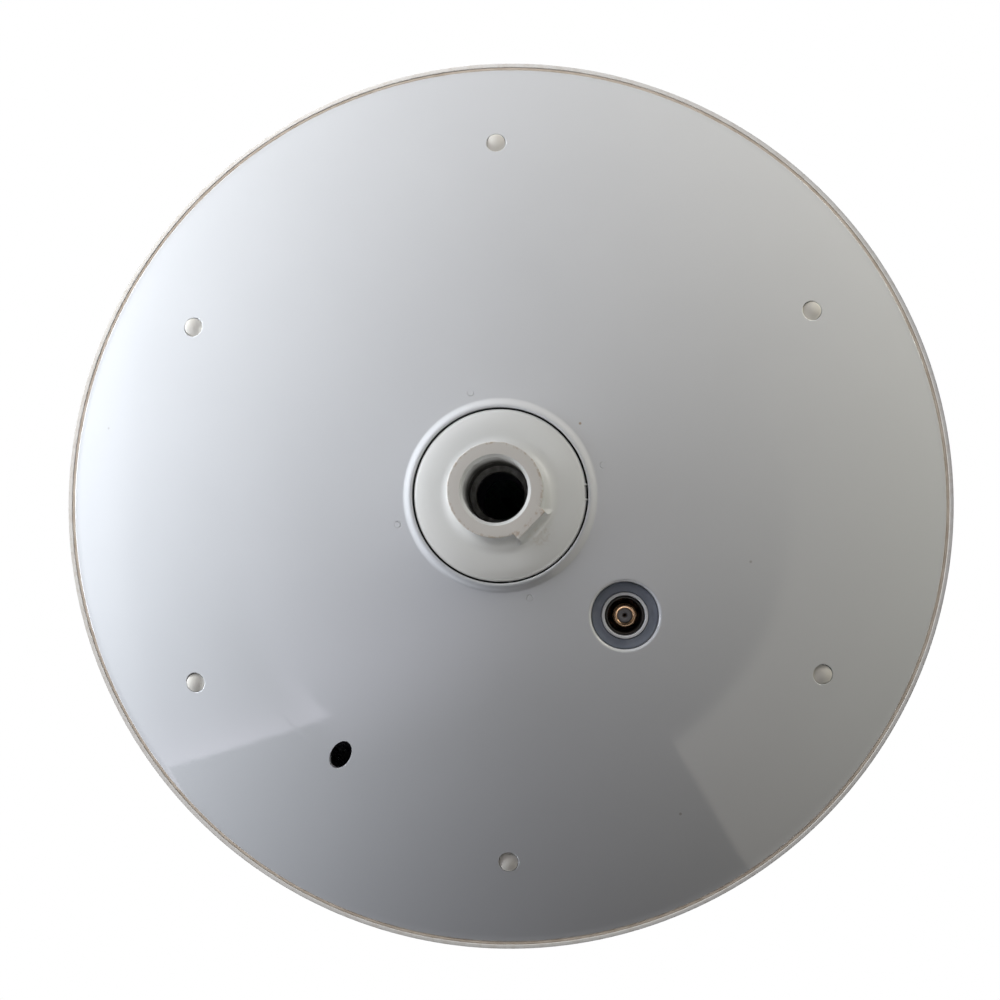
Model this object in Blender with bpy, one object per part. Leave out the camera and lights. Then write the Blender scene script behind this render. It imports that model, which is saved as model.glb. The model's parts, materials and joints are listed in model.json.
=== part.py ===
"""Omnidirectional marine antenna dome, as an assembly of separate pieces.

Units are metres and +Z is up, as the antenna stands on its mast.  The origin is the centre of the
mast ferrule's mouth, at the bottom of the antenna, and +X points at the coaxial socket.
"""

import math

import bmesh
import bpy
from mathutils import Vector

GAP = 0.0003                     # clearance between pieces that touch
EDGE = 0.0004                    # broken edge of a moulding
OVERCUT = 0.001                  # how far a cutter runs past the face it opens

# Shells
RIM_RADIUS = 0.185
RIM_Z = 0.070
DOME_HEIGHT = 0.075
DOME_WALL = 0.0028
DOME_POWER = 2.2                 # 2 is an ellipse, more gives fuller shoulders
LIP_INNER_RADIUS = 0.1833
LIP_LEDGE_Z = 0.0758
LEDGE_INNER_RADIUS = 0.1785
COVER_APEX_Z = 0.0375
COVER_CURVE = 1.03               # the underside rises by r * r / COVER_CURVE
COVER_WALL = 0.003
COVER_RADIUS = 0.1819
SEAL_INNER_RADIUS = 0.1822
SEAL_OUTER_RADIUS = 0.1830

# Mast ferrule and hub
BOSS_RADIUS = 0.0175
BOSS_FOOT_RADIUS = 0.0179
BOSS_FILLET = 0.006
MOUTH_RADIUS = 0.01305           # wide end of the thread's countersink
THREAD_RADIUS = 0.0119           # minor radius of the 1"-14 thread
STEP_Z = 0.0435
INNER_HOLE_RADIUS = 0.010
PAD_REACH = 0.0186
PAD_HALF_WIDTH = 0.0069
DISC_RADIUS = 0.0339
DISC_Z = 0.0384
HUB_HOLE_RADIUS = 0.0347
COLLAR_END_RADIUS = 0.0375       # where the cover's collar meets its crowned face
LAND_RADIUS = 0.050
FLANGE_RADIUS = 0.0485
FLANGE_THICKNESS = 0.003
GASKET_THICKNESS = 0.0012
CLAMP_INNER_RADIUS = 0.0365
CLAMP_THICKNESS = 0.002
HUB_SCREW_CIRCLE = 0.042
HUB_SCREW_ANGLES = [math.radians(30 + 90 * k) for k in range(4)]
HUB_BOSS_RADIUS = 0.0036         # bosses on the cover, through the holes of gasket and flange
HUB_BOSS_HOLE_RADIUS = 0.0040
HUB_PILOT_RADIUS = 0.0019
CLAMP_HOLE_RADIUS = 0.0020

# Rim screws and their plugs
RIM_SCREW_CIRCLE = 0.147
RIM_SCREW_ANGLES = [math.radians(45 + 60 * k) for k in range(6)]
PLUG_RADIUS = 0.0037
RECESS_RADIUS = 0.0040
PLUG_EDGE_Z = 0.0596
PLUG_CROWN = 0.0011
SEAT_Z = 0.068
SEAT_THICKNESS = 0.0025
RIM_BOSS_RADIUS = 0.0065
RIM_POST_RADIUS = 0.005
RIM_PILOT_RADIUS = 0.0023
RIM_PILOT_DEPTH = 0.016
SEAT_HOLE_RADIUS = 0.0024

# Drain hole
DRAIN_CIRCLE = 0.1222
DRAIN_ANGLE = math.radians(78)
DRAIN_HALF_LENGTH = 0.0062
DRAIN_HALF_WIDTH = 0.0040

# Coaxial socket and the pocket round it
JACK_X = 0.068
JACK_RADIUS = 0.0047
JACK_END_Z = 0.0446
JACK_BORE_RADIUS = 0.0031
JACK_FLANGE_RADIUS = 0.0063
JACK_TAIL_RADIUS = 0.0036
JACK_TAIL_BORE_RADIUS = 0.0016
POCKET_RADIUS = 0.0135
POCKET_FLOOR_Z = 0.0465
COLLAR_END_Z = 0.0439
COLLAR_RADIUS = 0.0091
WELL_RADIUS = 0.0079
WELL_FLOOR_Z = 0.0595
WELL_FLOOR_THICKNESS = 0.0025
BUSH_RADIUS = 0.0076
BUSH_INNER_RADIUS = 0.0069
SOCKET_HOLE_RADIUS = 0.0052
NUT_FLATS = 0.011

# Amplifier board
BOARD_X = (0.080, 0.132)
BOARD_HALF_WIDTH = 0.022
BOARD_Z = 0.064
BOARD_THICKNESS = 0.0016
BOARD_SCREWS = [(x, y) for x in (0.0855, 0.128) for y in (-0.018, 0.018)]
CAN_X = (0.091, 0.123)
CAN_HALF_WIDTH = 0.013
CAN_HEIGHT = 0.008
CAN_WALL = 0.0006
BOARD_POST_RADIUS = 0.0032
BOARD_HOLE_RADIUS = 0.0014

# Crossed dipoles
CARRIER_RADIUS = 0.070
CARRIER_Z = 0.086
CARRIER_THICKNESS = 0.003
CARRIER_POST_CIRCLE = 0.062
CARRIER_POST_ANGLES = [math.radians(45 + 90 * k) for k in range(4)]
CARRIER_POST_RADIUS = 0.0045
CARRIER_HOLE_RADIUS = 0.0017
CARRIER_BORE_RADIUS = 0.009
CARRIER_RIM_WIDTH = 0.002
CARRIER_SKIRT = 0.004
ARM_Z = CARRIER_Z + CARRIER_THICKNESS + GAP
ARM_THICKNESS = 0.001
ARM_START = 0.014
ARM_END = 0.138
ARM_START_HALF_WIDTH = 0.008
ARM_END_HALF_WIDTH = 0.030
ARM_FOLD = 0.012
ARM_ANGLES = [math.radians(90 * k) for k in range(4)]
ARM_SCREW_CIRCLES = (0.024, 0.058)
ARM_BOSS_RADIUS = 0.0032
ARM_PILOT_RADIUS = 0.0014
ARM_HOLE_RADIUS = 0.0015
FEED_BOARD_RADIUS = 0.032
FEED_BOARD_Z = ARM_Z + ARM_THICKNESS + GAP
CABLE_DIAMETER = 0.003

# Screws: head radius, head height, shank radius, shank length
COVER_SCREW = (0.0035, 0.0026, 0.0019, 0.016)
HUB_SCREW = (0.0033, 0.0022, 0.0015, 0.0088)
BOARD_SCREW = (0.0025, 0.0018, 0.0010, 0.007)
CARRIER_SCREW = (0.0030, 0.0022, 0.0013, 0.013)
LONG_ARM_SCREW = (0.0025, 0.0018, 0.0010, 0.0105)
SHORT_ARM_SCREW = (0.0025, 0.0018, 0.0010, 0.0086)

SHELL_STEPS = 48                 # facets round the big shells
HUB_STEPS = 36
POCKET_STEPS = 24
JACK_STEPS = 16
SCREW_STEPS = 8
POST_STEPS = 10
HOLE_STEPS = 8

LAND_Z = COVER_APEX_Z + LAND_RADIUS ** 2 / COVER_CURVE + COVER_WALL
GASKET_Z = LAND_Z + GAP
FLANGE_Z = GASKET_Z + GASKET_THICKNESS + GAP
CLAMP_Z = FLANGE_Z + FLANGE_THICKNESS + GAP
POST_FOOT_Z = SEAT_Z + SEAT_THICKNESS + GAP


# ---------------------------------------------------------------- surfaces

def cover_outer(radius):
    """Height of the bottom cover's outer face."""
    return COVER_APEX_Z + radius ** 2 / COVER_CURVE


def cover_inner(radius):
    """Height of the bottom cover's inner face."""
    return cover_outer(radius) + COVER_WALL


def cover_middle(radius):
    """Height halfway through the bottom cover's wall."""
    return cover_outer(radius) + COVER_WALL / 2


def dome_point(inset, turn):
    """A point of the dome's section, inset from its outer face; turn runs from rim to crown."""
    power = 2 / DOME_POWER
    radius = (RIM_RADIUS - inset) * math.cos(turn) ** power
    height = (DOME_HEIGHT - inset) * math.sin(turn) ** power
    return radius, RIM_Z + height


def dome_middle(radius):
    """Height halfway through the dome's wall."""
    share = (radius / (RIM_RADIUS - DOME_WALL / 2)) ** DOME_POWER
    return RIM_Z + (DOME_HEIGHT - DOME_WALL / 2) * (1 - share) ** (1 / DOME_POWER)


def on_circle(radius, angle):
    """The point at an angle on a circle about the antenna's axis."""
    return radius * math.cos(angle), radius * math.sin(angle)


# ---------------------------------------------------------------- materials

def make_material(name, colour, roughness, metallic=0.0):
    """A Principled material of one colour."""
    material = bpy.data.materials.new(name)
    material.use_nodes = True
    shader = material.node_tree.nodes["Principled BSDF"]
    shader.inputs["Base Color"].default_value = (*colour, 1.0)
    shader.inputs["Roughness"].default_value = roughness
    shader.inputs["Metallic"].default_value = metallic
    return material


def make_materials():
    """Every material of the antenna, by name."""
    return {
        "dome_white": make_material("dome_white", (0.80, 0.80, 0.78), 0.22),
        "cover_white": make_material("cover_white", (0.76, 0.78, 0.80), 0.22),
        "hub_white": make_material("hub_white", (0.70, 0.71, 0.67), 0.40),
        "plug_white": make_material("plug_white", (0.62, 0.61, 0.56), 0.35),
        "seal_tan": make_material("seal_tan", (0.33, 0.26, 0.19), 0.75),
        "rubber_black": make_material("rubber_black", (0.015, 0.015, 0.015), 0.70),
        "rubber_slate": make_material("rubber_slate", (0.085, 0.095, 0.125), 0.60),
        "stainless": make_material("stainless", (0.60, 0.60, 0.59), 0.30, 1.0),
        "gilt_brass": make_material("gilt_brass", (0.62, 0.40, 0.22), 0.25, 1.0),
        "dielectric": make_material("dielectric", (0.42, 0.43, 0.44), 0.50),
        "board_green": make_material("board_green", (0.02, 0.13, 0.06), 0.45),
        "tinplate": make_material("tinplate", (0.66, 0.67, 0.68), 0.28, 1.0),
        "aluminium": make_material("aluminium", (0.74, 0.75, 0.76), 0.35, 1.0),
        "carrier_grey": make_material("carrier_grey", (0.45, 0.46, 0.47), 0.50),
        "cable_black": make_material("cable_black", (0.02, 0.02, 0.022), 0.55),
    }


# ---------------------------------------------------------------- mesh tools

def make_object(name, bm, material):
    """Turn a bmesh into an object with outward faces, smooth where it is round."""
    bmesh.ops.recalc_face_normals(bm, faces=bm.faces)
    mesh = bpy.data.meshes.new(name)
    bm.to_mesh(mesh)
    bm.free()
    mesh.shade_smooth()
    mesh.set_sharp_from_angle(angle=math.radians(35))
    obj = bpy.data.objects.new(name, mesh)
    bpy.context.collection.objects.link(obj)
    if material is not None:
        mesh.materials.append(material)
    return obj


def add_turned(bm, outline, steps, centre=(0.0, 0.0)):
    """Add the solid that an outline of (radius, z) points sweeps about the axis through centre."""
    rings = []
    for radius, z in outline:
        count = steps if radius > 0 else 1
        ring = []
        for step in range(count):
            angle = 2 * math.pi * step / steps
            x = centre[0] + radius * math.cos(angle)
            y = centre[1] + radius * math.sin(angle)
            ring.append(bm.verts.new((x, y, z)))
        rings.append(ring)
    pairs = list(zip(rings, rings[1:] + rings[:1]))
    for low, high in pairs:
        if len(low) == 1 and len(high) == 1:
            continue
        for step in range(steps):
            after = (step + 1) % steps
            corners = [low[step % len(low)], low[after % len(low)],
                       high[after % len(high)], high[step % len(high)]]
            bm.faces.new(list(dict.fromkeys(corners)))


def turned(name, outline, steps, material, centre=(0.0, 0.0)):
    """An object turned about the axis through centre."""
    bm = bmesh.new()
    add_turned(bm, outline, steps, centre)
    return make_object(name, bm, material)


def height_at(level, radius):
    """A level is a height or a surface that gives the height at a radius."""
    return level(radius) if callable(level) else level


def add_post(bm, centre, radius, low, high, steps=POST_STEPS, stretch=(1.0, 1.0), turn=0.0):
    """Add a vertical post whose ends are heights or follow a shell's surface."""
    rings = []
    for level in (low, high):
        ring = []
        for step in range(steps):
            angle = 2 * math.pi * step / steps
            across = radius * stretch[0] * math.cos(angle)
            along = radius * stretch[1] * math.sin(angle)
            x = centre[0] + across * math.cos(turn) - along * math.sin(turn)
            y = centre[1] + across * math.sin(turn) + along * math.cos(turn)
            ring.append(bm.verts.new((x, y, height_at(level, math.hypot(x, y)))))
        if callable(level):
            middle = bm.verts.new((*centre, level(math.hypot(*centre))))
            for step in range(steps):
                bm.faces.new((ring[step], ring[(step + 1) % steps], middle))
        else:
            bm.faces.new(ring)
        rings.append(ring)
    for step in range(steps):
        after = (step + 1) % steps
        bm.faces.new((rings[0][step], rings[0][after], rings[1][after], rings[1][step]))


def add_box(bm, low, high):
    """Add a box between two corners."""
    size = Vector(high) - Vector(low)
    middle = (Vector(high) + Vector(low)) / 2
    made = bmesh.ops.create_cube(bm, size=1.0)["verts"]
    bmesh.ops.scale(bm, vec=size, verts=made)
    bmesh.ops.translate(bm, vec=middle, verts=made)


def combine(target, bm, operation):
    """Unite a guide body with the target, or cut it out of the target."""
    guide = make_object(f"{target.name}_{operation.lower()}_{len(target.modifiers)}", bm, None)
    guide.hide_render = True
    guide.display_type = "WIRE"
    modifier = target.modifiers.new(operation.title(), "BOOLEAN")
    modifier.operation = operation
    modifier.object = guide
    modifier.solver = "EXACT"


def hole_row(target, places, radius, low, high, steps=HOLE_STEPS):
    """Cut a row of equal vertical holes."""
    bm = bmesh.new()
    for centre in places:
        add_post(bm, centre, radius, low, high, steps)
    combine(target, bm, "DIFFERENCE")


# ---------------------------------------------------------------- shells

def build_top_radome(materials):
    """The upper dome, with a lip round the bottom cover and six screw posts."""
    turns = [math.radians(angle) for angle in (6, 14, 23, 33, 44, 56, 68, 79)]
    outer = [dome_point(0.0, turn) for turn in turns]
    inner = [dome_point(DOME_WALL, turn) for turn in turns]
    outline = [(LIP_INNER_RADIUS, RIM_Z), (RIM_RADIUS - EDGE, RIM_Z), (RIM_RADIUS, RIM_Z + EDGE)]
    outline += outer
    outline += [(0.0, RIM_Z + DOME_HEIGHT), (0.0, RIM_Z + DOME_HEIGHT - DOME_WALL)]
    outline += inner[::-1]
    outline += [(LEDGE_INNER_RADIUS, LIP_LEDGE_Z + 0.0015), (LEDGE_INNER_RADIUS, LIP_LEDGE_Z),
                (LIP_INNER_RADIUS, LIP_LEDGE_Z)]
    dome = turned("top_radome", outline, SHELL_STEPS, materials["dome_white"])
    places = [on_circle(RIM_SCREW_CIRCLE, angle) for angle in RIM_SCREW_ANGLES]
    posts = bmesh.new()
    for centre in places:
        add_post(posts, centre, RIM_POST_RADIUS, POST_FOOT_Z, dome_middle)
    combine(dome, posts, "UNION")
    hole_row(dome, places, RIM_PILOT_RADIUS, POST_FOOT_Z - OVERCUT, POST_FOOT_Z + RIM_PILOT_DEPTH)


def stepped_cutter(wide_radius, step_z, narrow_radius, top_z):
    """Outline of a hole that starts wide below the cover and narrows at step_z."""
    low_z = COVER_APEX_Z - 0.005
    return [(0.0, low_z), (wide_radius, low_z), (wide_radius, step_z), (narrow_radius, step_z),
            (narrow_radius, top_z), (0.0, top_z)]


def cover_outline():
    """Section of the bottom cover: collar, crowned face, upstanding rim, inner land."""
    steps = 7
    start = COLLAR_END_RADIUS + 0.0008
    end = COVER_RADIUS - 0.0005
    outline = [(HUB_HOLE_RADIUS, 0.0387), (0.0350, 0.0380), (0.0357, 0.0376), (0.0366, 0.0377),
               (COLLAR_END_RADIUS, 0.0382)]
    for step in range(steps + 1):
        radius = start + (end - start) * step / steps
        outline.append((radius, cover_outer(radius)))
    rim_top = LIP_LEDGE_Z - GAP
    outline.append((COVER_RADIUS, cover_outer(COVER_RADIUS) + EDGE))
    outline.append((COVER_RADIUS, rim_top))
    outline.append((COVER_RADIUS - 0.003, rim_top))
    for step in range(steps, -1, -1):
        radius = LAND_RADIUS + (COVER_RADIUS - 0.0035 - LAND_RADIUS) * step / steps
        outline.append((radius, cover_inner(radius)))
    outline.append((HUB_HOLE_RADIUS, LAND_Z))
    return outline


def build_bottom_cover(materials):
    """The underside, with its screw bosses, posts, drain hole and connector pocket."""
    cover = turned("bottom_cover", cover_outline(), SHELL_STEPS, materials["cover_white"])
    rim_places = [on_circle(RIM_SCREW_CIRCLE, angle) for angle in RIM_SCREW_ANGLES]
    hub_places = [on_circle(HUB_SCREW_CIRCLE, angle) for angle in HUB_SCREW_ANGLES]
    post_places = [on_circle(CARRIER_POST_CIRCLE, angle) for angle in CARRIER_POST_ANGLES]
    bosses = bmesh.new()
    for centre in rim_places:
        add_post(bosses, centre, RIM_BOSS_RADIUS, cover_middle, SEAT_Z + SEAT_THICKNESS)
    for centre in hub_places:
        add_post(bosses, centre, HUB_BOSS_RADIUS, LAND_Z - 0.001, CLAMP_Z - 2 * GAP)
    for centre in post_places:
        add_post(bosses, centre, CARRIER_POST_RADIUS, cover_middle, CARRIER_Z - GAP)
    for centre in BOARD_SCREWS:
        add_post(bosses, centre, BOARD_POST_RADIUS, cover_middle, BOARD_Z - GAP)
    add_post(bosses, (JACK_X, 0.0), POCKET_RADIUS + 0.002, cover_middle, POCKET_FLOOR_Z + 0.003,
             POCKET_STEPS)
    combine(cover, bosses, "UNION")
    holes = bmesh.new()
    above_seat = SEAT_Z + SEAT_THICKNESS + OVERCUT
    for centre in rim_places:
        recess = stepped_cutter(RECESS_RADIUS, SEAT_Z, SEAT_HOLE_RADIUS, above_seat)
        add_turned(holes, recess, JACK_STEPS, centre)
    for centre in hub_places:
        add_post(holes, centre, HUB_PILOT_RADIUS, LAND_Z - 0.0019, CLAMP_Z + OVERCUT, HOLE_STEPS)
    for centre in post_places:
        add_post(holes, centre, CARRIER_HOLE_RADIUS, CARRIER_Z - 0.012, CARRIER_Z + OVERCUT, HOLE_STEPS)
    for centre in BOARD_SCREWS:
        add_post(holes, centre, BOARD_HOLE_RADIUS, BOARD_Z - 0.0075, BOARD_Z + OVERCUT, HOLE_STEPS)
    pocket = stepped_cutter(POCKET_RADIUS, POCKET_FLOOR_Z, COLLAR_RADIUS - 0.0006, POCKET_FLOOR_Z + 0.005)
    add_turned(holes, pocket, POCKET_STEPS, (JACK_X, 0.0))
    drain = on_circle(DRAIN_CIRCLE, DRAIN_ANGLE)
    stretch = (1.0, DRAIN_HALF_WIDTH / DRAIN_HALF_LENGTH)
    add_post(holes, drain, DRAIN_HALF_LENGTH, COVER_APEX_Z, RIM_Z, POCKET_STEPS, stretch, DRAIN_ANGLE)
    combine(cover, holes, "DIFFERENCE")
    well = bmesh.new()
    top = WELL_FLOOR_Z + WELL_FLOOR_THICKNESS
    outline = [(WELL_RADIUS, COLLAR_END_Z), (COLLAR_RADIUS, COLLAR_END_Z), (COLLAR_RADIUS, top),
               (SOCKET_HOLE_RADIUS, top), (SOCKET_HOLE_RADIUS, WELL_FLOOR_Z), (WELL_RADIUS, WELL_FLOOR_Z)]
    add_turned(well, outline, JACK_STEPS, (JACK_X, 0.0))
    combine(cover, well, "UNION")


def build_rim_seal(materials):
    """The bead between the bottom cover's rim and the dome's lip."""
    low = RIM_Z + 0.0003
    high = LIP_LEDGE_Z - GAP
    outline = [(SEAL_INNER_RADIUS, low), (SEAL_OUTER_RADIUS, low), (SEAL_OUTER_RADIUS, high),
               (SEAL_INNER_RADIUS, high)]
    turned("rim_seal", outline, SHELL_STEPS, materials["seal_tan"])


# ---------------------------------------------------------------- hub

def hub_outline():
    """Section of the hub: ferrule boss, fillet, disc, neck and flange, then its stepped bore."""
    fillet_z = DISC_Z - 0.0022 - BOSS_FILLET
    outline = [(MOUTH_RADIUS, 0.0), (BOSS_RADIUS - EDGE, 0.0), (BOSS_RADIUS, EDGE),
               (BOSS_FOOT_RADIUS, fillet_z)]
    for angle in (22.5, 45, 67.5, 90):
        turn = math.radians(angle)
        radius = BOSS_FOOT_RADIUS + BOSS_FILLET * (1 - math.cos(turn))
        outline.append((radius, fillet_z + BOSS_FILLET * math.sin(turn)))
    outline += [(DISC_RADIUS - 0.0012, DISC_Z - 0.0009), (DISC_RADIUS - 0.0003, DISC_Z - 0.0004),
                (DISC_RADIUS, DISC_Z + 0.0003), (DISC_RADIUS, FLANGE_Z), (FLANGE_RADIUS, FLANGE_Z)]
    top = FLANGE_Z + FLANGE_THICKNESS
    web = DISC_Z + 0.0022
    outline += [(FLANGE_RADIUS, top), (DISC_RADIUS - 0.003, top), (DISC_RADIUS - 0.003, web),
                (BOSS_RADIUS - 0.001, web), (BOSS_RADIUS - 0.001, top), (INNER_HOLE_RADIUS, top)]
    countersink = MOUTH_RADIUS - THREAD_RADIUS
    outline += [(INNER_HOLE_RADIUS, STEP_Z), (THREAD_RADIUS, STEP_Z), (THREAD_RADIUS, countersink)]
    return outline


def build_hub(materials):
    """The mast ferrule with its pad and flange, clamped on a gasket by a steel ring."""
    places = [on_circle(HUB_SCREW_CIRCLE, angle) for angle in HUB_SCREW_ANGLES]
    hub = turned("mount_hub", hub_outline(), HUB_STEPS, materials["hub_white"])
    pad = bmesh.new()
    low = (MOUTH_RADIUS + 0.001, -PAD_HALF_WIDTH, 0.0)
    high = (PAD_REACH, PAD_HALF_WIDTH, DISC_Z - 0.005)
    add_box(pad, low, high)
    combine(hub, pad, "UNION")
    hole_row(hub, places, HUB_BOSS_HOLE_RADIUS, FLANGE_Z - OVERCUT, CLAMP_Z, POST_STEPS)

    gasket_outline = [(DISC_RADIUS + GAP, GASKET_Z), (FLANGE_RADIUS - GAP, GASKET_Z),
                      (FLANGE_RADIUS - GAP, GASKET_Z + GASKET_THICKNESS),
                      (DISC_RADIUS + GAP, GASKET_Z + GASKET_THICKNESS)]
    gasket = turned("hub_gasket", gasket_outline, HUB_STEPS, materials["rubber_black"])
    hole_row(gasket, places, HUB_BOSS_HOLE_RADIUS, GASKET_Z - OVERCUT, FLANGE_Z, POST_STEPS)

    ring_outline = [(CLAMP_INNER_RADIUS, CLAMP_Z), (FLANGE_RADIUS, CLAMP_Z),
                    (FLANGE_RADIUS, CLAMP_Z + CLAMP_THICKNESS),
                    (CLAMP_INNER_RADIUS, CLAMP_Z + CLAMP_THICKNESS)]
    ring = turned("hub_clamp_ring", ring_outline, HUB_STEPS, materials["stainless"])
    hole_row(ring, places, CLAMP_HOLE_RADIUS, CLAMP_Z - OVERCUT, CLAMP_Z + CLAMP_THICKNESS + OVERCUT)


# ---------------------------------------------------------------- fasteners

def screw_mesh(name, size, material):
    """A pan-head screw: its seat at the origin, its shank along -Z."""
    head_radius, head_height, shank_radius, length = size
    outline = [(0.0, -length), (shank_radius, -length), (shank_radius, 0.0), (head_radius, 0.0),
               (head_radius, head_height * 0.6), (head_radius * 0.7, head_height), (0.0, head_height)]
    bm = bmesh.new()
    add_turned(bm, outline, SCREW_STEPS)
    screw = make_object(name, bm, material)
    mesh = screw.data
    bpy.data.objects.remove(screw)
    return mesh


def place_screws(name, mesh, places, seat_z, upward=False):
    """Set one screw at each place; upward turns its shank to +Z."""
    for number, centre in enumerate(places, start=1):
        screw = bpy.data.objects.new(f"{name}_{number}", mesh)
        screw.location = (*centre, seat_z)
        screw.rotation_euler = (math.pi if upward else 0.0, 0.0, 0.0)
        bpy.context.collection.objects.link(screw)


def build_screws(materials):
    """Every screw of the antenna."""
    steel = materials["stainless"]
    rim = screw_mesh("cover_screw_shape", COVER_SCREW, steel)
    places = [on_circle(RIM_SCREW_CIRCLE, angle) for angle in RIM_SCREW_ANGLES]
    place_screws("cover_screw", rim, places, SEAT_Z - GAP, upward=True)
    hub = screw_mesh("hub_screw_shape", HUB_SCREW, steel)
    places = [on_circle(HUB_SCREW_CIRCLE, angle) for angle in HUB_SCREW_ANGLES]
    place_screws("hub_screw", hub, places, CLAMP_Z + CLAMP_THICKNESS + GAP)
    board = screw_mesh("board_screw_shape", BOARD_SCREW, steel)
    place_screws("board_screw", board, BOARD_SCREWS, BOARD_Z + BOARD_THICKNESS + GAP)
    carrier = screw_mesh("carrier_screw_shape", CARRIER_SCREW, steel)
    places = [on_circle(CARRIER_POST_CIRCLE, angle) for angle in CARRIER_POST_ANGLES]
    place_screws("carrier_screw", carrier, places, ARM_Z)
    inner, outer = ARM_SCREW_CIRCLES
    places = [on_circle(inner, angle) for angle in ARM_ANGLES]
    long_arm = screw_mesh("arm_screw_long", LONG_ARM_SCREW, steel)
    place_screws("arm_screw_inner", long_arm, places, FEED_BOARD_Z + BOARD_THICKNESS + GAP)
    places = [on_circle(outer, angle) for angle in ARM_ANGLES]
    short_arm = screw_mesh("arm_screw_short", SHORT_ARM_SCREW, steel)
    place_screws("arm_screw_outer", short_arm, places, FEED_BOARD_Z)


def build_plugs(materials):
    """The domed caps that close the six screw recesses."""
    outline = [(0.0, PLUG_EDGE_Z - PLUG_CROWN), (PLUG_RADIUS * 0.55, PLUG_EDGE_Z - PLUG_CROWN * 0.7),
               (PLUG_RADIUS, PLUG_EDGE_Z), (PLUG_RADIUS, PLUG_EDGE_Z + 0.003), (0.0, PLUG_EDGE_Z + 0.003)]
    for number, angle in enumerate(RIM_SCREW_ANGLES, start=1):
        plug = turned(f"screw_plug_{number}", outline, JACK_STEPS, materials["plug_white"])
        plug.location = (*on_circle(RIM_SCREW_CIRCLE, angle), 0.0)


# ---------------------------------------------------------------- connector

def build_connector(materials):
    """The F socket in its well: body, insulator, contact, nut, washer, liner and gasket."""
    axis = bpy.data.objects.new("jack_axis", None)
    axis.location = (JACK_X, 0.0, 0.0)
    bpy.context.collection.objects.link(axis)
    well_top = WELL_FLOOR_Z + WELL_FLOOR_THICKNESS
    flange_z = well_top + GAP
    tail_z = flange_z + 0.0025
    end_z = tail_z + 0.0035
    shoulder_z = WELL_FLOOR_Z + 0.0005
    body = [(JACK_BORE_RADIUS, JACK_END_Z), (JACK_RADIUS - EDGE, JACK_END_Z),
            (JACK_RADIUS, JACK_END_Z + EDGE), (JACK_RADIUS, flange_z), (JACK_FLANGE_RADIUS, flange_z),
            (JACK_FLANGE_RADIUS, tail_z), (JACK_TAIL_RADIUS, tail_z), (JACK_TAIL_RADIUS, end_z),
            (JACK_TAIL_BORE_RADIUS, end_z), (JACK_TAIL_BORE_RADIUS, shoulder_z),
            (JACK_BORE_RADIUS, shoulder_z)]
    face_z = JACK_END_Z + 0.0006
    back_z = shoulder_z - GAP
    insulator = [(0.0007, face_z), (JACK_BORE_RADIUS - GAP, face_z), (JACK_BORE_RADIUS - GAP, back_z),
                 (0.0013, back_z), (0.0013, face_z + 0.001), (0.0007, face_z + 0.001)]
    contact_z = face_z + 0.0013
    contact = [(0.00055, contact_z), (0.0010, contact_z), (0.0010, end_z - GAP), (0.0, end_z - GAP),
               (0.0, contact_z + 0.010), (0.00055, contact_z + 0.010)]
    bush_floor_z = WELL_FLOOR_Z - GAP
    bush = [(BUSH_INNER_RADIUS, JACK_END_Z), (BUSH_RADIUS, JACK_END_Z), (BUSH_RADIUS, bush_floor_z),
            (SOCKET_HOLE_RADIUS, bush_floor_z), (SOCKET_HOLE_RADIUS, bush_floor_z - 0.001),
            (BUSH_INNER_RADIUS, bush_floor_z - 0.001)]
    washer_top = bush_floor_z - 0.001 - GAP
    washer_low = washer_top - 0.0008
    washer = [(0.0051, washer_low), (0.0064, washer_low), (0.0064, washer_top), (0.0051, washer_top)]
    nut_top = washer_low - GAP
    nut_low = nut_top - 0.0025
    nut_radius = NUT_FLATS / math.sqrt(3)
    gasket_z = COLLAR_END_Z + 0.0006
    gasket_top = POCKET_FLOOR_Z - GAP
    gasket = [(COLLAR_RADIUS + GAP, gasket_z), (POCKET_RADIUS - GAP, gasket_z),
              (POCKET_RADIUS - GAP, gasket_top), (COLLAR_RADIUS + GAP, gasket_top)]
    pieces = [
        turned("jack_body", body, JACK_STEPS, materials["gilt_brass"]),
        turned("jack_insulator", insulator, JACK_STEPS, materials["dielectric"]),
        turned("jack_contact", contact, SCREW_STEPS, materials["gilt_brass"]),
        turned("connector_bush", bush, JACK_STEPS, materials["rubber_black"]),
        turned("jack_washer", washer, JACK_STEPS, materials["gilt_brass"]),
        turned("connector_gasket", gasket, POCKET_STEPS, materials["rubber_slate"]),
    ]
    nut_mesh = bmesh.new()
    add_post(nut_mesh, (0.0, 0.0), nut_radius, nut_low, nut_top, 6)
    nut = make_object("jack_nut", nut_mesh, materials["gilt_brass"])
    pieces.append(nut)
    for piece in pieces:
        piece.parent = axis
    hole_row(nut, [(JACK_X, 0.0)], JACK_RADIUS + GAP, nut_low - OVERCUT, nut_top + OVERCUT, JACK_STEPS)


# ---------------------------------------------------------------- electronics

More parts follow.
